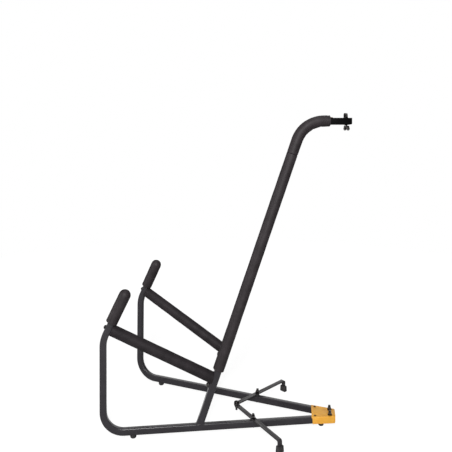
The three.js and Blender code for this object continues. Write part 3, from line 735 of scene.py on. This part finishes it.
@dataclass
class Workshop:
    """Makes and finishes meshes, and hands each piece to the frame.

    Each key of `coated` is the start of the names of the coated steel that its collection takes.
    """

    plan: Plan
    finishes: Finishes
    nodes: dict[str, bpy.types.Object]
    coated: dict[str, bpy.types.Collection]
    flat_angle: float = math.radians(1)
    edge_angle: float = math.radians(35)
    corner_steps: int = 5

    def piece(self, name: str, shape: bmesh.types.BMesh, finish: Finish, body: str,
              stood_for: str | None = None, sharp: float = math.radians(38)) -> bpy.types.Object:
        """Turns a finished bmesh into an object that rides on a body and takes a material slot.

        Args:
            name: Name of the piece.
            shape: The mesh, in the stand's own axes.
            finish: Its finish.
            body: Name of the body.
            stood_for: CAD node that the piece stands for, or None.
            sharp: Angle past which an edge stays sharp.

        Returns:
            The piece.
        """
        mesh = bpy.data.meshes.new(name)
        shape.to_mesh(mesh)
        shape.free()
        mesh.shade_smooth()
        mesh.set_sharp_from_angle(angle=sharp)
        made = bpy.data.objects.new(name, mesh)
        bpy.context.scene.collection.objects.link(made)
        mesh.materials.append(self.finishes.material(finish))
        if isinstance(finish, (PowderCoat, GoldCoat, ZincPlate)):
            for start, pieces in self.coated.items():
                if name.startswith(start):
                    pieces.objects.link(made)
        LOG.info("%s: %d faces, %s", name, len(mesh.polygons), finish.name)
        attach(made, body)
        if stood_for is not None:
            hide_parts(stood_for)
        return made

    def refined(self, node: str, body: str, finish: Finish, edge: float, steps: int = 2,
                shaping: Callable[[bmesh.types.BMesh], None] | None = None) -> None:
        """Copies a CAD node, merges it, rounds its sharp edges and dresses it.

        Args:
            node: Name of the CAD node.
            body: Body that carries it.
            finish: Its finish.
            edge: Width of the rounding in metres.
            steps: Segments of the rounding.
            shaping: Changes the merged copy before its edges are rounded, or None.
        """
        shape = bmesh.new()
        shape.from_mesh(self.nodes[node].data)
        bmesh.ops.remove_doubles(shape, verts=shape.verts, dist=MERGE)
        bmesh.ops.dissolve_limit(shape, angle_limit=self.flat_angle, verts=shape.verts, edges=shape.edges)
        if shaping is not None:
            shaping(shape)
        self.round_edges(shape, self.edge_angle, edge, steps)
        bmesh.ops.remove_doubles(shape, verts=shape.verts, dist=MERGE / 4)
        self.piece(f"{node}_finished", shape, finish, body, node)

    def round_edges(self, shape: bmesh.types.BMesh, sharp: float, edge: float, steps: int) -> None:
        """Rounds the sharp edges of a mesh.

        Args:
            shape: The mesh.
            sharp: Angle past which an edge is rounded.
            edge: Width of the rounding in metres.
            steps: Segments of the rounding.
        """
        corners = [line for line in shape.edges
                   if len(line.link_faces) == 2 and line.calc_face_angle(0.0) > sharp]
        bmesh.ops.bevel(shape, geom=corners, offset=edge, offset_type="OFFSET", segments=steps, profile=0.5,
                        affect="EDGES", clamp_overlap=True, material=-1)

    def tube_section(self, shape: bmesh.types.BMesh, growth: float) -> list[bmesh.types.BMEdge]:
        """Adds the tube's rounded rectangle in the XY plane.

        Args:
            shape: The mesh that takes the section.
            growth: How much deeper the drawn tube is on each side.

        Returns:
            The edges of the section.
        """
        plan = self.plan
        bmesh.ops.create_grid(shape, x_segments=1, y_segments=1, size=0.5)
        width = plan.tube_width + 2 * plan.width_growth
        depth = plan.tube_depth + 2 * growth
        bmesh.ops.scale(shape, vec=(width, depth, 1.0), verts=shape.verts)
        bmesh.ops.bevel(shape, geom=list(shape.verts), offset=plan.tube_corner, offset_type="OFFSET",
                        segments=self.corner_steps, profile=0.5, affect="VERTICES", material=-1)
        bmesh.ops.delete(shape, geom=list(shape.faces), context="FACES_ONLY")
        return list(shape.edges)

    def sweep(self, shape: bmesh.types.BMesh, section: list[bmesh.types.BMEdge],
              stations: Sequence[Station]) -> list[list[bmesh.types.BMVert]]:
        """Extrudes a section from station to station in the frame's plane.

        Args:
            shape: The mesh that holds the section.
            section: Edges of the section, in the XY plane.
            stations: Where each ring lies.

        Returns:
            The vertices of each ring.
        """
        rings = [list(dict.fromkeys(vert for line in section for vert in line.verts))]
        last = stations[0].matrix()
        bmesh.ops.transform(shape, matrix=last, verts=rings[0])
        for station in stations[1:]:
            grown = bmesh.ops.extrude_edge_only(shape, edges=section)["geom"]
            section = [item for item in grown if isinstance(item, bmesh.types.BMEdge)]
            ring = [item for item in grown if isinstance(item, bmesh.types.BMVert)]
            here = station.matrix()
            bmesh.ops.transform(shape, matrix=here @ last.inverted(), verts=ring)
            rings.append(ring)
            last = here
        return rings

    def cut(self, shape: bmesh.types.BMesh, spot: Vector, face: Vector) -> None:
        """Cuts off what lies behind a plane that stands square on the frame's plane.

        Args:
            shape: The mesh, in the frame's plane.
            spot: A point of the cut.
            face: Way from the cut to the part that stays.
        """
        bmesh.ops.bisect_plane(shape, geom=[*shape.verts, *shape.edges, *shape.faces],
                               plane_co=(spot.x, spot.y, 0.0), plane_no=(face.x, face.y, 0.0),
                               clear_inner=True)

    def close(self, shape: bmesh.types.BMesh) -> None:
        """Fills open ends and points every face outwards."""
        bmesh.ops.holes_fill(shape, edges=[line for line in shape.edges if line.is_boundary], sides=0)
        bmesh.ops.recalc_face_normals(shape, faces=shape.faces)


@dataclass
class FrameTubes:
    """The bent tubes of one frame, swept finer than the solids, with their weld beads."""

    shop: Workshop
    side: Side
    rail_pitch: float = 40 * MM
    upright_pitch: float = 60 * MM
    weld_radius: float = 1.3 * MM
    weld_sides: int = 8
    weld_swell: float = 0.18
    ripples_per_metre: float = 900.0
    weld_sharp: float = math.radians(80)

    def tube(self, route: Route, growth: float) -> bmesh.types.BMesh:
        """Sweeps the tube section along a route.

        Args:
            route: The tube's middle line, in the frame's plane.
            growth: How much deeper the drawn tube is on each side.

        Returns:
            The open tube.
        """
        shape = bmesh.new()
        self.shop.sweep(shape, self.shop.tube_section(shape, growth), route.stations())
        return shape

    def place(self, part: str, shape: bmesh.types.BMesh) -> None:
        """Closes a tube, takes it to its place and dresses it.

        Args:
            part: Name of the tube's CAD node, without its side.
            shape: The tube, in the frame's plane.
        """
        self.shop.close(shape)
        shape.transform(self.shop.plan.matrix(self.side))
        node = f"{self.side.label}_{part}"
        self.shop.piece(f"{node}_bent", shape, self.shop.finishes.tube, self.side.frame_body, node)

    def frame_tube(self) -> None:
        """Makes tail, rail, front upright and horn from one bent tube."""
        plan = self.shop.plan
        tip = plan.horn_corner + plan.horn_way * plan.horn_length
        corners = [Vector((-plan.tail_length, 0.0)), Vector((plan.front_reach, 0.0)), plan.horn_corner, tip]
        route = Route(corners, [plan.front_bend, plan.horn_bend], self.rail_pitch)
        self.place("frame_tube", self.tube(route, plan.depth_growth))

    def rear_upright(self) -> None:
        """Makes the rear upright, cut flat on the rail, with a weld bead round its foot."""
        plan = self.shop.plan
        low = plan.upright_foot - plan.upright_way * 2 * plan.tube_depth
        end = Vector((plan.top_pivot.x - plan.tail_length, plan.top_height))
        route = Route([low, plan.top_corner, end], [plan.top_bend], self.upright_pitch)
        shape = self.tube(route, plan.upright_growth)
        cut_height = plan.half_depth + plan.seat_gap
        self.shop.cut(shape, Vector((0.0, cut_height)), Vector((0.0, 1.0)))
        foot = [vert.co.copy() for vert in shape.verts if abs(vert.co.y - cut_height) < MERGE]
        self.place("rear_upright", shape)
        self.weld_bead(foot)

    def weld_bead(self, foot: list[Vector]) -> None:
        """Lays a bead of weld round the foot of the rear upright.

        Args:
            foot: Points of the foot's outline, in the frame's plane.
        """
        middle = sum(foot, Vector()) / len(foot)
        ordered = sorted(foot, key=lambda spot: math.atan2(spot.z - middle.z, spot.x - middle.x))
        shape = bmesh.new()
        rings = []
        for index in range(len(ordered)):
            ring = bmesh.ops.create_circle(shape, cap_ends=False, radius=self.weld_radius,
                                           segments=self.weld_sides,
                                           matrix=self.bead_matrix(ordered, index, middle))
            rings.append(ring["verts"])
        for first, second in zip(rings, rings[1:] + rings[:1]):
            edges = dict.fromkeys(line for vert in first + second for line in vert.link_edges
                                  if line.is_wire or line.is_boundary)
            chosen = [line for line in edges if all(vert in first for vert in line.verts)
                      or all(vert in second for vert in line.verts)]
            bmesh.ops.bridge_loops(shape, edges=chosen)
        bmesh.ops.recalc_face_normals(shape, faces=shape.faces)
        shape.transform(self.shop.plan.matrix(self.side))
        self.shop.piece(f"{self.side.label}_upright_weld", shape, self.shop.finishes.tube,
                        self.side.frame_body, sharp=self.weld_sharp)

    def bead_matrix(self, ordered: list[Vector], index: int, middle: Vector) -> Matrix:
        """Places one ring of the bead, swollen a little from ripple to ripple.

        Args:
            ordered: Points round the foot.
            index: Number of the ring's point.
            middle: Middle of the foot.

        Returns:
            The matrix that takes a circle in the XY plane to the ring.
        """
        here = ordered[index]
        way = (ordered[(index + 1) % len(ordered)] - ordered[index - 1]).normalized()
        out = (here - middle).normalized()
        turn = Matrix((out, way.cross(out).normalized(), way)).transposed().to_4x4()
        swell = 1.0 + self.weld_swell * noise.noise(here * self.ripples_per_metre)
        return Matrix.Translation(here) @ turn @ Matrix.Scale(swell, 4)

    def build(self) -> None:
        """Makes both tubes."""
        self.frame_tube()
        self.rear_upright()


@dataclass(frozen=True)
class Fold:
    """A crease or nick in the foam's bend.

    Its share tells how far round the bend it lies, and its width is a share of the bend too.
    """

    share: float
    deep: float
    wide: float

    def depth(self, share: float) -> float:
        """How deep the fold is at a share of the bend."""
        return self.deep * math.exp(-((share - self.share) / self.wide) ** 2)


@dataclass
class FoamSleeves:
    """The foam tubes of one frame: round, lipped at their ends, dented and wrinkled where they bend."""

    shop: Workshop
    side: Side
    sides: int = 56
    end_lip: float = 0.8 * MM
    seam_lip: float = 1.7 * MM
    lip_steps: int = 5
    dome_steps: int = 12
    bore_depth: float = 7 * MM
    bore_edge: float = 0.15
    bore_wide: float = 7.4 * MM
    bore_deep: float = 10.3 * MM
    pitch: float = 3 * MM
    bend_steps: int = 44
    dent: float = 0.28 * MM
    dent_grain: float = 32 * MM
    pimple: float = 0.1 * MM
    pimple_grain: float = 4 * MM
    most_rise: float = 1.2 * MM
    skin_share: float = 0.9
    creases: tuple[Fold, ...] = (Fold(0.3, 0.5 * MM, 0.03), Fold(0.62, 0.9 * MM, 0.035),
                                 Fold(0.93, 1.3 * MM, 0.03))
    nicks: tuple[Fold, ...] = (Fold(1.16, 1.1 * MM, 0.025), Fold(0.6, 0.4 * MM, 0.05))
    fold_slide: float = 0.05
    slide_turns: float = 1.6
    nick_slide: float = 0.4
    bulge: float = 1.1 * MM
    bulge_middle: float = 0.55
    bulge_reach: float = 0.75
    end_swell: float = 0.3 * MM
    swell_range: Range = (0.9, 1.4)
    end_lift: float = 2.6 * MM
    lift_range: Range = (0.75, 1.55)
    horn_swell: float = 0.6 * MM
    rim: float = 1.2 * MM
    rim_steps: int = 3
    rim_sharp: float = math.radians(50)
    sleeve_sharp: float = math.radians(70)
    fill: float = 0.9
    seeds: dict[str, float] = field(
        default_factory=lambda: {"horn_foam": 3.1, "lower_foam": 7.3, "upper_foam": 11.9, "seat_foam": 17.7})

    def lipped(self, route: Route, radius: float, lips: Range) -> list[Station]:
        """Divides a sleeve, with a round lip and a short bore at each open end.

        Args:
            route: The sleeve's line, from end to end.
            radius: Radius of the sleeve.
            lips: Radius of the lip at the start and at the end, 0 for a closed round end.

        Returns:
            Stations from the bore of one end to the bore of the other.
        """
        middle = route.stations()
        start = self.lip(middle[0], 1.0, radius, lips[0])
        end = self.lip(middle[-1], -1.0, radius, lips[1])[::-1] if lips[1] else self.dome(middle[-1], radius)
        kept = [station for station in middle
                if (station.place - middle[0].place).length > lips[0]
                and ((station.place - middle[-1].place).length > lips[1] or not lips[1])]
        return start + kept + end

    def lip(self, edge: Station, inward: float, radius: float, lip: float) -> list[Station]:
        """Makes one open end.

        Args:
            edge: Station at the end of the sleeve.
            inward: 1 where the sleeve's way points into it, -1 where it points out.
            radius: Radius of the sleeve.
            lip: Radius of the lip.

        Returns:
            Stations from inside the bore over the lip to the full radius.
        """
        way = edge.way.normalized()
        wide, deep = self.bore_wide / radius, self.bore_deep / radius
        made = [Station(edge.place + way * (inward * depth), way, wide, deep)
                for depth in (self.bore_depth, lip * self.bore_edge)]
        for step in range(self.lip_steps + 1):
            angle = math.pi / 2 * step / self.lip_steps
            share = (radius - lip + lip * math.sin(angle)) / radius
            place = edge.place + way * (inward * lip * (1.0 - math.cos(angle)))
            made.append(Station(place, way, share, share))
        return made

    def dome(self, edge: Station, radius: float) -> list[Station]:
        """Makes one closed round end.

        Args:
            edge: Station where the dome starts.
            radius: Radius of the sleeve.

        Returns:
            Stations of the dome, past the edge.
        """
        angles = [math.pi / 2 * step / self.dome_steps for step in range(1, self.dome_steps)]
        return [Station(edge.place + edge.way * (radius * math.sin(angle)), edge.way, math.cos(angle),
                        math.cos(angle)) for angle in angles]

    def skin(self, name: str, stations: Sequence[Station], radius: float,
             bends: Callable[[int, Vector], float] | None = None
             ) -> tuple[bmesh.types.BMesh, list[list[bmesh.types.BMVert]]]:
        """Sweeps a sleeve and moves its skin in and out: broad dents, small pimples and wrinkles in bends.

        Args:
            name: Name of the sleeve's CAD node, without its side.
            stations: Where each ring lies.
            radius: Radius of the sleeve.
            bends: Gives the wrinkle height in metres at a ring for a way out of it, or None.

        Returns:
            The mesh, in the frame's plane, and the vertices of each ring.
        """
        shape = bmesh.new()
        bmesh.ops.create_circle(shape, cap_ends=False, radius=radius, segments=self.sides)
        rings = self.shop.sweep(shape, list(shape.edges), stations)
        seed = self.seeds[name] + self.side.value
        shift = Vector((seed, seed * 0.37, seed * 0.71))
        for index, (ring, station) in enumerate(zip(rings, stations)):
            if station.wide < self.skin_share:
                continue
            centre = Vector((station.place.x, station.place.y, 0.0))
            for vert in ring:
                out = (vert.co - centre).normalized()
                move = self.dent * noise.noise(vert.co / self.dent_grain + shift)
                move += self.pimple * noise.noise(vert.co / self.pimple_grain + shift)
                if bends is not None:
                    move += bends(index, out)
                vert.co += out * min(move, self.most_rise)
        return shape, rings

    def place(self, name: str, shape: bmesh.types.BMesh, finish: Finish) -> None:
        """Args:
            name: Name of the sleeve's CAD node, without its side.
            shape: The sleeve, in the frame's plane.
            finish: Its finish.
        """
        self.shop.close(shape)
        shape.transform(self.shop.plan.matrix(self.side))
        node = f"{self.side.label}_{name}"
        made = self.shop.piece(f"{node}_sleeve", shape, finish, self.side.frame_body, node, self.sleeve_sharp)

    def horn(self) -> None:
        """Makes the horn's sleeve with its closed round tip."""
        plan = self.shop.plan
        ends = [plan.horn_corner + plan.horn_way * reach
                for reach in (plan.horn_foam_start, plan.horn_length)]
        radius = plan.foam_radius + self.horn_swell
        stations = self.lipped(Route(ends, [], self.pitch), radius, (self.end_lip, 0.0))
        shape, _ = self.skin("horn_foam", stations, radius)
        self.place("horn_foam", shape, self.shop.finishes.foam)

    def lower(self) -> None:
        """Makes the long straight sleeve of the rear upright."""
        plan = self.shop.plan
        ends = [plan.upright_foot + plan.upright_way * reach
                for reach in (plan.upright_foam_start, plan.seam_height / plan.upright_way.y)]
        stations = self.lipped(Route(ends, [], self.pitch), plan.foam_radius, (self.end_lip, self.seam_lip))
        shape, _ = self.skin("lower_foam", stations, plan.foam_radius)
        self.place("lower_foam", shape, self.shop.finishes.foam)

    def bend_share(self, station: Station) -> float:
        """Tells how far round the top bend a station is.

        Args:
            station: The station.

        Returns:
            0 at the bend's start, 1 at its end, less before it and more past it.
        """
        plan = self.shop.plan
        full = math.pi / 2 - plan.upright_lean
        reach = plan.top_bend * math.tan(full / 2)
        past = station.place.x - plan.top_corner.x + reach
        if past < 0.0:
            return 1.0 - past / (plan.top_bend * full)
        risen = (station.place - plan.top_corner + plan.upright_way * reach).dot(plan.upright_way)
        if risen < 0.0:
            return risen / (plan.top_bend * full)
        return 1.0 - math.atan2(station.way.y, -station.way.x) / full

    def fold_height(self, station: Station, out: Vector) -> float:
        """Wrinkles the top bend: creases and bulges on its inside, nicks on its outside.

        Args:
            station: The station of the ring.
            out: Way out of the ring at the point.

        Returns:
            Height of the skin in metres.
        """
        share = self.bend_share(station)
        way = station.way.normalized()
        facing = out.dot(Vector((-way.y, way.x, 0.0)))
        slide = self.fold_slide * noise.noise(Vector((out.z * self.slide_turns, self.side.value * 4.0, 2.0)))
        if facing > 0.0:
            within = max(0.0, 1.0 - abs(share - self.bulge_middle) / self.bulge_reach)
            dips = sum(fold.depth(share + slide) for fold in self.creases)
            height = (self.bulge * within ** 0.5 - dips) * facing
        else:
            height = sum(fold.depth(share + slide * self.nick_slide) for fold in self.nicks) * facing
        return height + self.end_swell * ramp(share, self.swell_range)

    def upper(self) -> None:
        """Makes the upper sleeve, wrinkled on the inside of the top bend and a little high past it."""
        plan = self.shop.plan
        start = plan.upright_foot + plan.upright_way * (plan.seam_height / plan.upright_way.y + plan.seat_gap)
        end = Vector((plan.top_pivot.x + plan.top_foam_gap, plan.top_height))
        route = Route([start, plan.top_corner, end], [plan.top_bend], self.pitch, self.bend_steps)
        stations = self.lipped(route, plan.foam_radius, (self.seam_lip, self.end_lip))
        shape, rings = self.skin("upper_foam", stations, plan.foam_radius,
                                 lambda index, out: self.fold_height(stations[index], out))
        for ring, station in zip(rings, stations):
            lift = self.end_lift * ramp(self.bend_share(station), self.lift_range)
            bmesh.ops.translate(shape, vec=(0.0, lift, 0.0), verts=ring)
        self.place("upper_foam", shape, self.shop.finishes.foam)

    def seat(self) -> None:
        """Makes the seat's sleeve, cut along the faces of the horn and the rear upright."""
        plan = self.shop.plan
        way = (plan.seat_front - plan.seat_rear).normalized()
        ends = [plan.seat_rear - way * plan.foam_radius, plan.seat_front + way * plan.foam_radius]
        shape, _ = self.skin("seat_foam", Route(ends, [], self.pitch).stations(), plan.foam_radius)
        reach = plan.half_depth + plan.seat_gap
        horn_back = Vector((-plan.horn_way.y, plan.horn_way.x))
        upright_front = Vector((plan.upright_way.y, -plan.upright_way.x))
        for corner, face in ((plan.seat_front, horn_back), (plan.seat_rear, upright_front)):
            self.shop.cut(shape, corner + face * reach, face)
        bmesh.ops.holes_fill(shape, edges=[line for line in shape.edges if line.is_boundary], sides=0)
        self.shop.round_edges(shape, self.rim_sharp, self.rim, self.rim_steps)
        self.place("seat_foam", shape, self.shop.finishes.seat_foam)

    def build(self) -> None:
        """Makes all the sleeves of the frame."""
        self.horn()
        self.lower()
        self.upper()
        self.seat()


@dataclass
class Hardware:
    """Brackets, fasteners, feet and outriggers, finished from their solids."""

    shop: Workshop
    wing_half: float = 1.7 * MM
    root_growth: float = 3.0
    tip_growth: float = 1.3
    wing_drops: dict[str, float] = field(
        default_factory=lambda: {"base": 4.2 * MM, "bar": 4.2 * MM, "top": -1.0 * MM})
    nut_turns: dict[str, float] = field(default_factory=lambda: {
        "near_base": 25.0, "far_base": -25.0, "near_bar": -12.0, "near_top": -20.0, "far_bar": 22.0})
    screw_growth: float = 1.35
    fine_edge: float = 0.2 * MM
    rail_edge: float = 0.25 * MM
    head_edge: float = 0.3 * MM
    sheet_edge: float = 0.35 * MM
    plug_edge: float = 0.4 * MM
    bar_edge: float = 0.5 * MM
    foot_edge: float = 0.6 * MM
    nut_edge: float = 0.7 * MM
    tip_edge: float = 1.2 * MM
    round_steps: int = 3

    def brackets(self) -> None:
        """Finishes the two sheet brackets and their rivets."""
        finishes = self.shop.finishes
        self.shop.refined("base_bracket", "brackets", finishes.gold, self.sheet_edge)
        self.shop.refined("top_bracket", "brackets", finishes.bracket, self.sheet_edge)
        for side in Side:
            for level in ("base", "top"):
                self.shop.refined(f"{side.label}_{level}_rivet", "brackets", finishes.rivet, self.head_edge)

    def fasteners(self, side: Side) -> None:
        """Finishes the bolts and nuts of one side, then its screws, inserts, plugs and straight rails.

        Args:
            side: The side.
        """
        label = side.label
        finishes = self.shop.finishes
        for level in ("base", "top", "bar"):
            self.shop.refined(f"{label}_{level}_bolt", side.frame_body, finishes.hardware, self.head_edge)
            turn = math.radians(self.nut_turns.get(f"{label}_{level}", 0.0))
            # The top nuts take the lighter plating, whose bright marks are painted glints.
            plating = finishes.painted_glint_plating if level == "top" else finishes.nut
            casting = partial(self.cast_wings, turn=turn, drop=self.wing_drops[level])
            self.shop.refined(f"{label}_{level}_wing_nut", f"{label}_{level}_nut", plating, self.nut_edge,
                              self.round_steps, casting)
        for part, finish, edge, shaping in (
                ("seat_insert", finishes.plain_zinc, self.fine_edge, None),
                ("rivet_nut", finishes.plain_zinc, self.fine_edge, None),
                ("horn_screw", finishes.hardware, self.head_edge, None),
                # The lug screw takes the lighter plating, with painted glints.
                ("lug_screw", finishes.painted_glint_plating, self.head_edge, self.enlarge),
                ("base_plug", finishes.plastic, self.plug_edge, None),
                ("top_plug", finishes.plastic, self.plug_edge, None),
                ("seat_rail", finishes.tube, self.rail_edge, None),
                ("seat_lug", finishes.tube, self.rail_edge, None)):
            self.shop.refined(f"{label}_{part}", side.frame_body, finish, edge, shaping=shaping)

    def cast_wings(self, shape: bmesh.types.BMesh, turn: float, drop: float) -> None:
        """Swells the wings of a nut as cast ones do, most at their roots, and turns the nut on its bolt.

        Args:
            shape: The merged copy of the nut.
            turn: Angle by which the drawn nut is turned from its solid, as in the photograph.
            drop: How much lower than those of the solid the tips of the wings are, in metres.
        """
        rims = [[pick(vert.co[axis] for vert in shape.verts) for axis in range(3)] for pick in (min, max)]
        middle = (Vector(rims[0]) + Vector(rims[1])) / 2
        spots = [vert.co - middle for vert in shape.verts]
        slant = sum(2 * spot.x * spot.y for spot in spots)
        lie = math.atan2(slant, sum(spot.x ** 2 - spot.y ** 2 for spot in spots)) / 2
        across = Vector((-math.sin(lie), math.cos(lie), 0.0))
        wing_side = math.copysign(1.0, max(spots, key=lambda spot: spot.xy.length).z)
        tall = max(spot.z for spot in spots) - min(spot.z for spot in spots)
        for vert, spot in zip(shape.verts, spots):
            aside = spot.dot(across)
            height = ramp(wing_side * spot.z / tall, (-0.5, 0.5))
            vert.co.z -= wing_side * drop * max(0.0, height * 2.0 - 1.0)
            if abs(aside) < self.wing_half:
                growth = self.root_growth + (self.tip_growth - self.root_growth) * height
                vert.co += across * (aside * (growth - 1.0))
        bmesh.ops.rotate(shape, cent=middle, matrix=Matrix.Rotation(turn, 3, "Z"), verts=shape.verts)

    def enlarge(self, shape: bmesh.types.BMesh) -> None:
        """Grows a small screw about its middle to the size that the photograph shows.

        Args:
            shape: The merged copy of the screw.
        """
        middle = sum((vert.co for vert in shape.verts), Vector()) / len(shape.verts)
        bmesh.ops.scale(shape, vec=(self.screw_growth,) * 3, space=Matrix.Translation(-middle),
                        verts=shape.verts)

    def floor_parts(self, side: Side) -> None:
        """Finishes the rubber feet, the spacer, the outrigger bar and its rubber tip on one side.

        Args:
            side: The side.
        """
        label = side.label
        finishes = self.shop.finishes
        for end in ("front", "rear"):
            self.shop.refined(f"{label}_{end}_foot", side.frame_body, finishes.rubber, self.foot_edge)
        self.shop.refined(f"{label}_bar_spacer", side.frame_body, finishes.plastic, self.head_edge)
        self.shop.refined(f"{label}_outrigger_bar", f"{label}_bar", finishes.bar, self.bar_edge)
        self.shop.refined(f"{label}_outrigger_tip", f"{label}_bar", finishes.tip, self.tip_edge,
                          self.round_steps)

    def build(self) -> None:
        """Finishes all the hardware."""
        self.brackets()
        for side in Side:
            self.fasteners(side)
            self.floor_parts(side)
        for node in ("pivot_bolt", "pivot_nut"):
            self.shop.refined(node, "near_bar", self.shop.finishes.hardware, self.head_edge)


@dataclass(frozen=True)
class Lamp:
    """An oblong area lamp: its place, aim and size in metres and its power in watts.

    With a key in `lights`, it lights only the coated steel that the workshop keeps under that key.
    """

    name: str
    place: Triple
    aim: Triple
    size: Range
    power: float
    lights: str | None = None

    def build(self, coated: dict[str, bpy.types.Collection]) -> None:
        """Hangs the lamp.

        Args:
            coated: The collections of coated steel.
        """
        data = bpy.data.lights.new(self.name, "AREA")
        data.shape = "RECTANGLE"
        data.size, data.size_y = self.size
        data.energy = self.power
        made = bpy.data.objects.new(self.name, data)
        made.location = self.place
        way = Vector(self.aim) - Vector(self.place)
        made.rotation_euler = way.to_track_quat("-Z", "Y").to_euler()
        bpy.context.scene.collection.objects.link(made)
        if self.lights is not None:
            made.light_linking.receiver_collection = coated[self.lights]


@dataclass
class Studio:
    """Floor, light and camera at the photograph's viewing angle.

    The pale wall and the pale ground give the satin coat its pale edges, and leave the foam as it is.
    """

    camera_place: Triple = (-43.6 * MM, -1559.0 * MM, 844.2 * MM)
    camera_turn: float = math.radians(7.76)
    focal_pixels: float = 538.36
    frame_pixels: float = 452.0
    horizon_row: float = 125.14
    sensor_mm: float = 36.0
    floor_size: float = 60.0
    floor_grey: float = 0.5
    floor_roughness: float = 0.9
    floor_specular: float = 0.1
    floor_glow: float = 0.55
    floor_level: float = 1.62
    fade_range: Range = (0.7, 2.4)
    world_level: float = 0.08
    mirror_share: float = 0.15
    lamps: tuple[Lamp, ...] = (
        Lamp("front_lamp", (0.25, -2.8, 2.0), (0.0, 0.0, 0.7), (0.6, 2.4), 112.0),
        Lamp("side_lamp", (-3.0, -1.2, 1.0), (0.0, 0.0, 0.4), (1.0, 2.2), 32.0),
        Lamp("top_lamp", (0.1, 0.1, 3.2), (0.0, 0.0, 0.4), (1.2, 2.4), 12.0),
        Lamp("back_lamp", (0.0, 3.4, 1.9), (0.0, 0.0, 0.4), (3.2, 2.4), 8.0),
        Lamp("pale_wall", (-1.2, 3.2, 1.4), (0.0, 0.0, 0.5), (5.6, 3.0), 40.0, ""),
        Lamp("pale_ground", (-0.3, 1.5, 0.001), (-0.3, 1.5, 1.0), (3.4, 3.0), 42.0, Side.NEAR.label))

    def camera(self, pivot_x: float) -> None:
        """Makes the level camera, with a shift for the photograph's low framing.

        Args:
            pivot_x: Place of the base rivets along X, from which the camera's place counts.
        """
        data = bpy.data.cameras.new("photo_camera")
        data.sensor_width = self.sensor_mm
        data.lens = self.focal_pixels / self.frame_pixels * self.sensor_mm
        data.shift_y = (self.horizon_row - self.frame_pixels / 2) / self.frame_pixels
        made = bpy.data.objects.new("photo_camera", data)
        made.location = Vector(self.camera_place) + Vector((pivot_x, 0.0, 0.0))
        made.rotation_euler = (math.pi / 2, 0.0, self.camera_turn)
        bpy.context.scene.collection.objects.link(made)
        bpy.context.scene.camera = made

    def world(self) -> None:
        """Lights the stand faintly from all round, and shows white behind it."""
        world = bpy.data.worlds.new("studio_world")
        world.use_nodes = True
        tree = world.node_tree
        background = tree.nodes["Background"]
        path = tree.nodes.new("ShaderNodeLightPath")
        mirrored = tree.nodes.new("ShaderNodeMath")
        mirrored.operation = "MULTIPLY_ADD"
        mirrored.inputs[1].default_value = self.mirror_share
        tree.links.new(path.outputs["Is Glossy Ray"], mirrored.inputs[0])
        tree.links.new(path.outputs["Is Camera Ray"], mirrored.inputs[2])
        level = tree.nodes.new("ShaderNodeMapRange")
        level.inputs["To Min"].default_value = self.world_level
        level.inputs["To Max"].default_value = 1.0
        tree.links.new(mirrored.outputs[0], level.inputs["Value"])
        background.inputs["Color"].default_value = WHITE
        tree.links.new(level.outputs[0], background.inputs["Strength"])
        bpy.context.scene.world = world

    def floor(self) -> None:
        """Lays a pale floor that keeps a soft shadow."""
        shape = bmesh.new()
        bmesh.ops.create_grid(shape, x_segments=1, y_segments=1, size=self.floor_size)
        mesh = bpy.data.meshes.new("studio_floor")
        shape.to_mesh(mesh)
        shape.free()
        graph = Graph("pale_floor")
        graph.set(Base_Color=(self.floor_grey,) * 3 + (1.0,), Roughness=self.floor_roughness,
                  Specular_IOR_Level=self.floor_specular)
        path = graph.tree.nodes.new("ShaderNodeLightPath")
        reach = graph.node("ShaderNodeVectorMath", {"operation": "LENGTH"}, {0: graph.place}, "Value")
        fade = reach.above(*self.fade_range)
        share = fade * (1.0 - self.floor_glow) + self.floor_glow
        strength = fade * (1.0 - self.floor_level) + self.floor_level
        glow = graph.node("ShaderNodeEmission", {}, {"Color": WHITE, "Strength": strength})
        blend = graph.tree.nodes.new("ShaderNodeMixShader")
        graph.feed(blend.inputs[0], share * Socket(graph, path.outputs["Is Camera Ray"]))
        graph.tree.links.new(graph.shader.outputs[0], blend.inputs[1])
        graph.feed(blend.inputs[2], glow)
        output = next(entry for entry in graph.tree.nodes if entry.type == "OUTPUT_MATERIAL")
        graph.tree.links.new(blend.outputs[0], output.inputs["Surface"])
        mesh.materials.append(graph.material)
        made = bpy.data.objects.new("studio_floor", mesh)
        bpy.context.scene.collection.objects.link(made)

    def build(self, pivot_x: float, coated: dict[str, bpy.types.Collection]) -> None:
        """Sets up the whole studio.

        Args:
            pivot_x: Place of the base rivets along X.
            coated: The coated steel, all of it under an empty key and the near pieces under their side's.
        """
        self.camera(pivot_x)
        self.world()
        self.floor()
        for lamp in self.lamps:
            lamp.build(coated)
        bpy.context.scene.view_settings.view_transform = "Standard"


def main() -> None:
    """Builds the studio and every piece of the stand."""
    logging.basicConfig(level=logging.INFO, format="%(message)s")
    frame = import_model()
    plan = Plan()
    coated = {start: bpy.data.collections.new(f"{start}coated_steel") for start in ("", Side.NEAR.label)}
    Studio().build(plan.pivot.x, coated)
    shop = Workshop(plan, Finishes(), frame["nodes"], coated)
    for side in Side:
        FrameTubes(shop, side).build()
        FoamSleeves(shop, side).build()
    Hardware(shop).build()


if __name__ == "__main__":
    main()
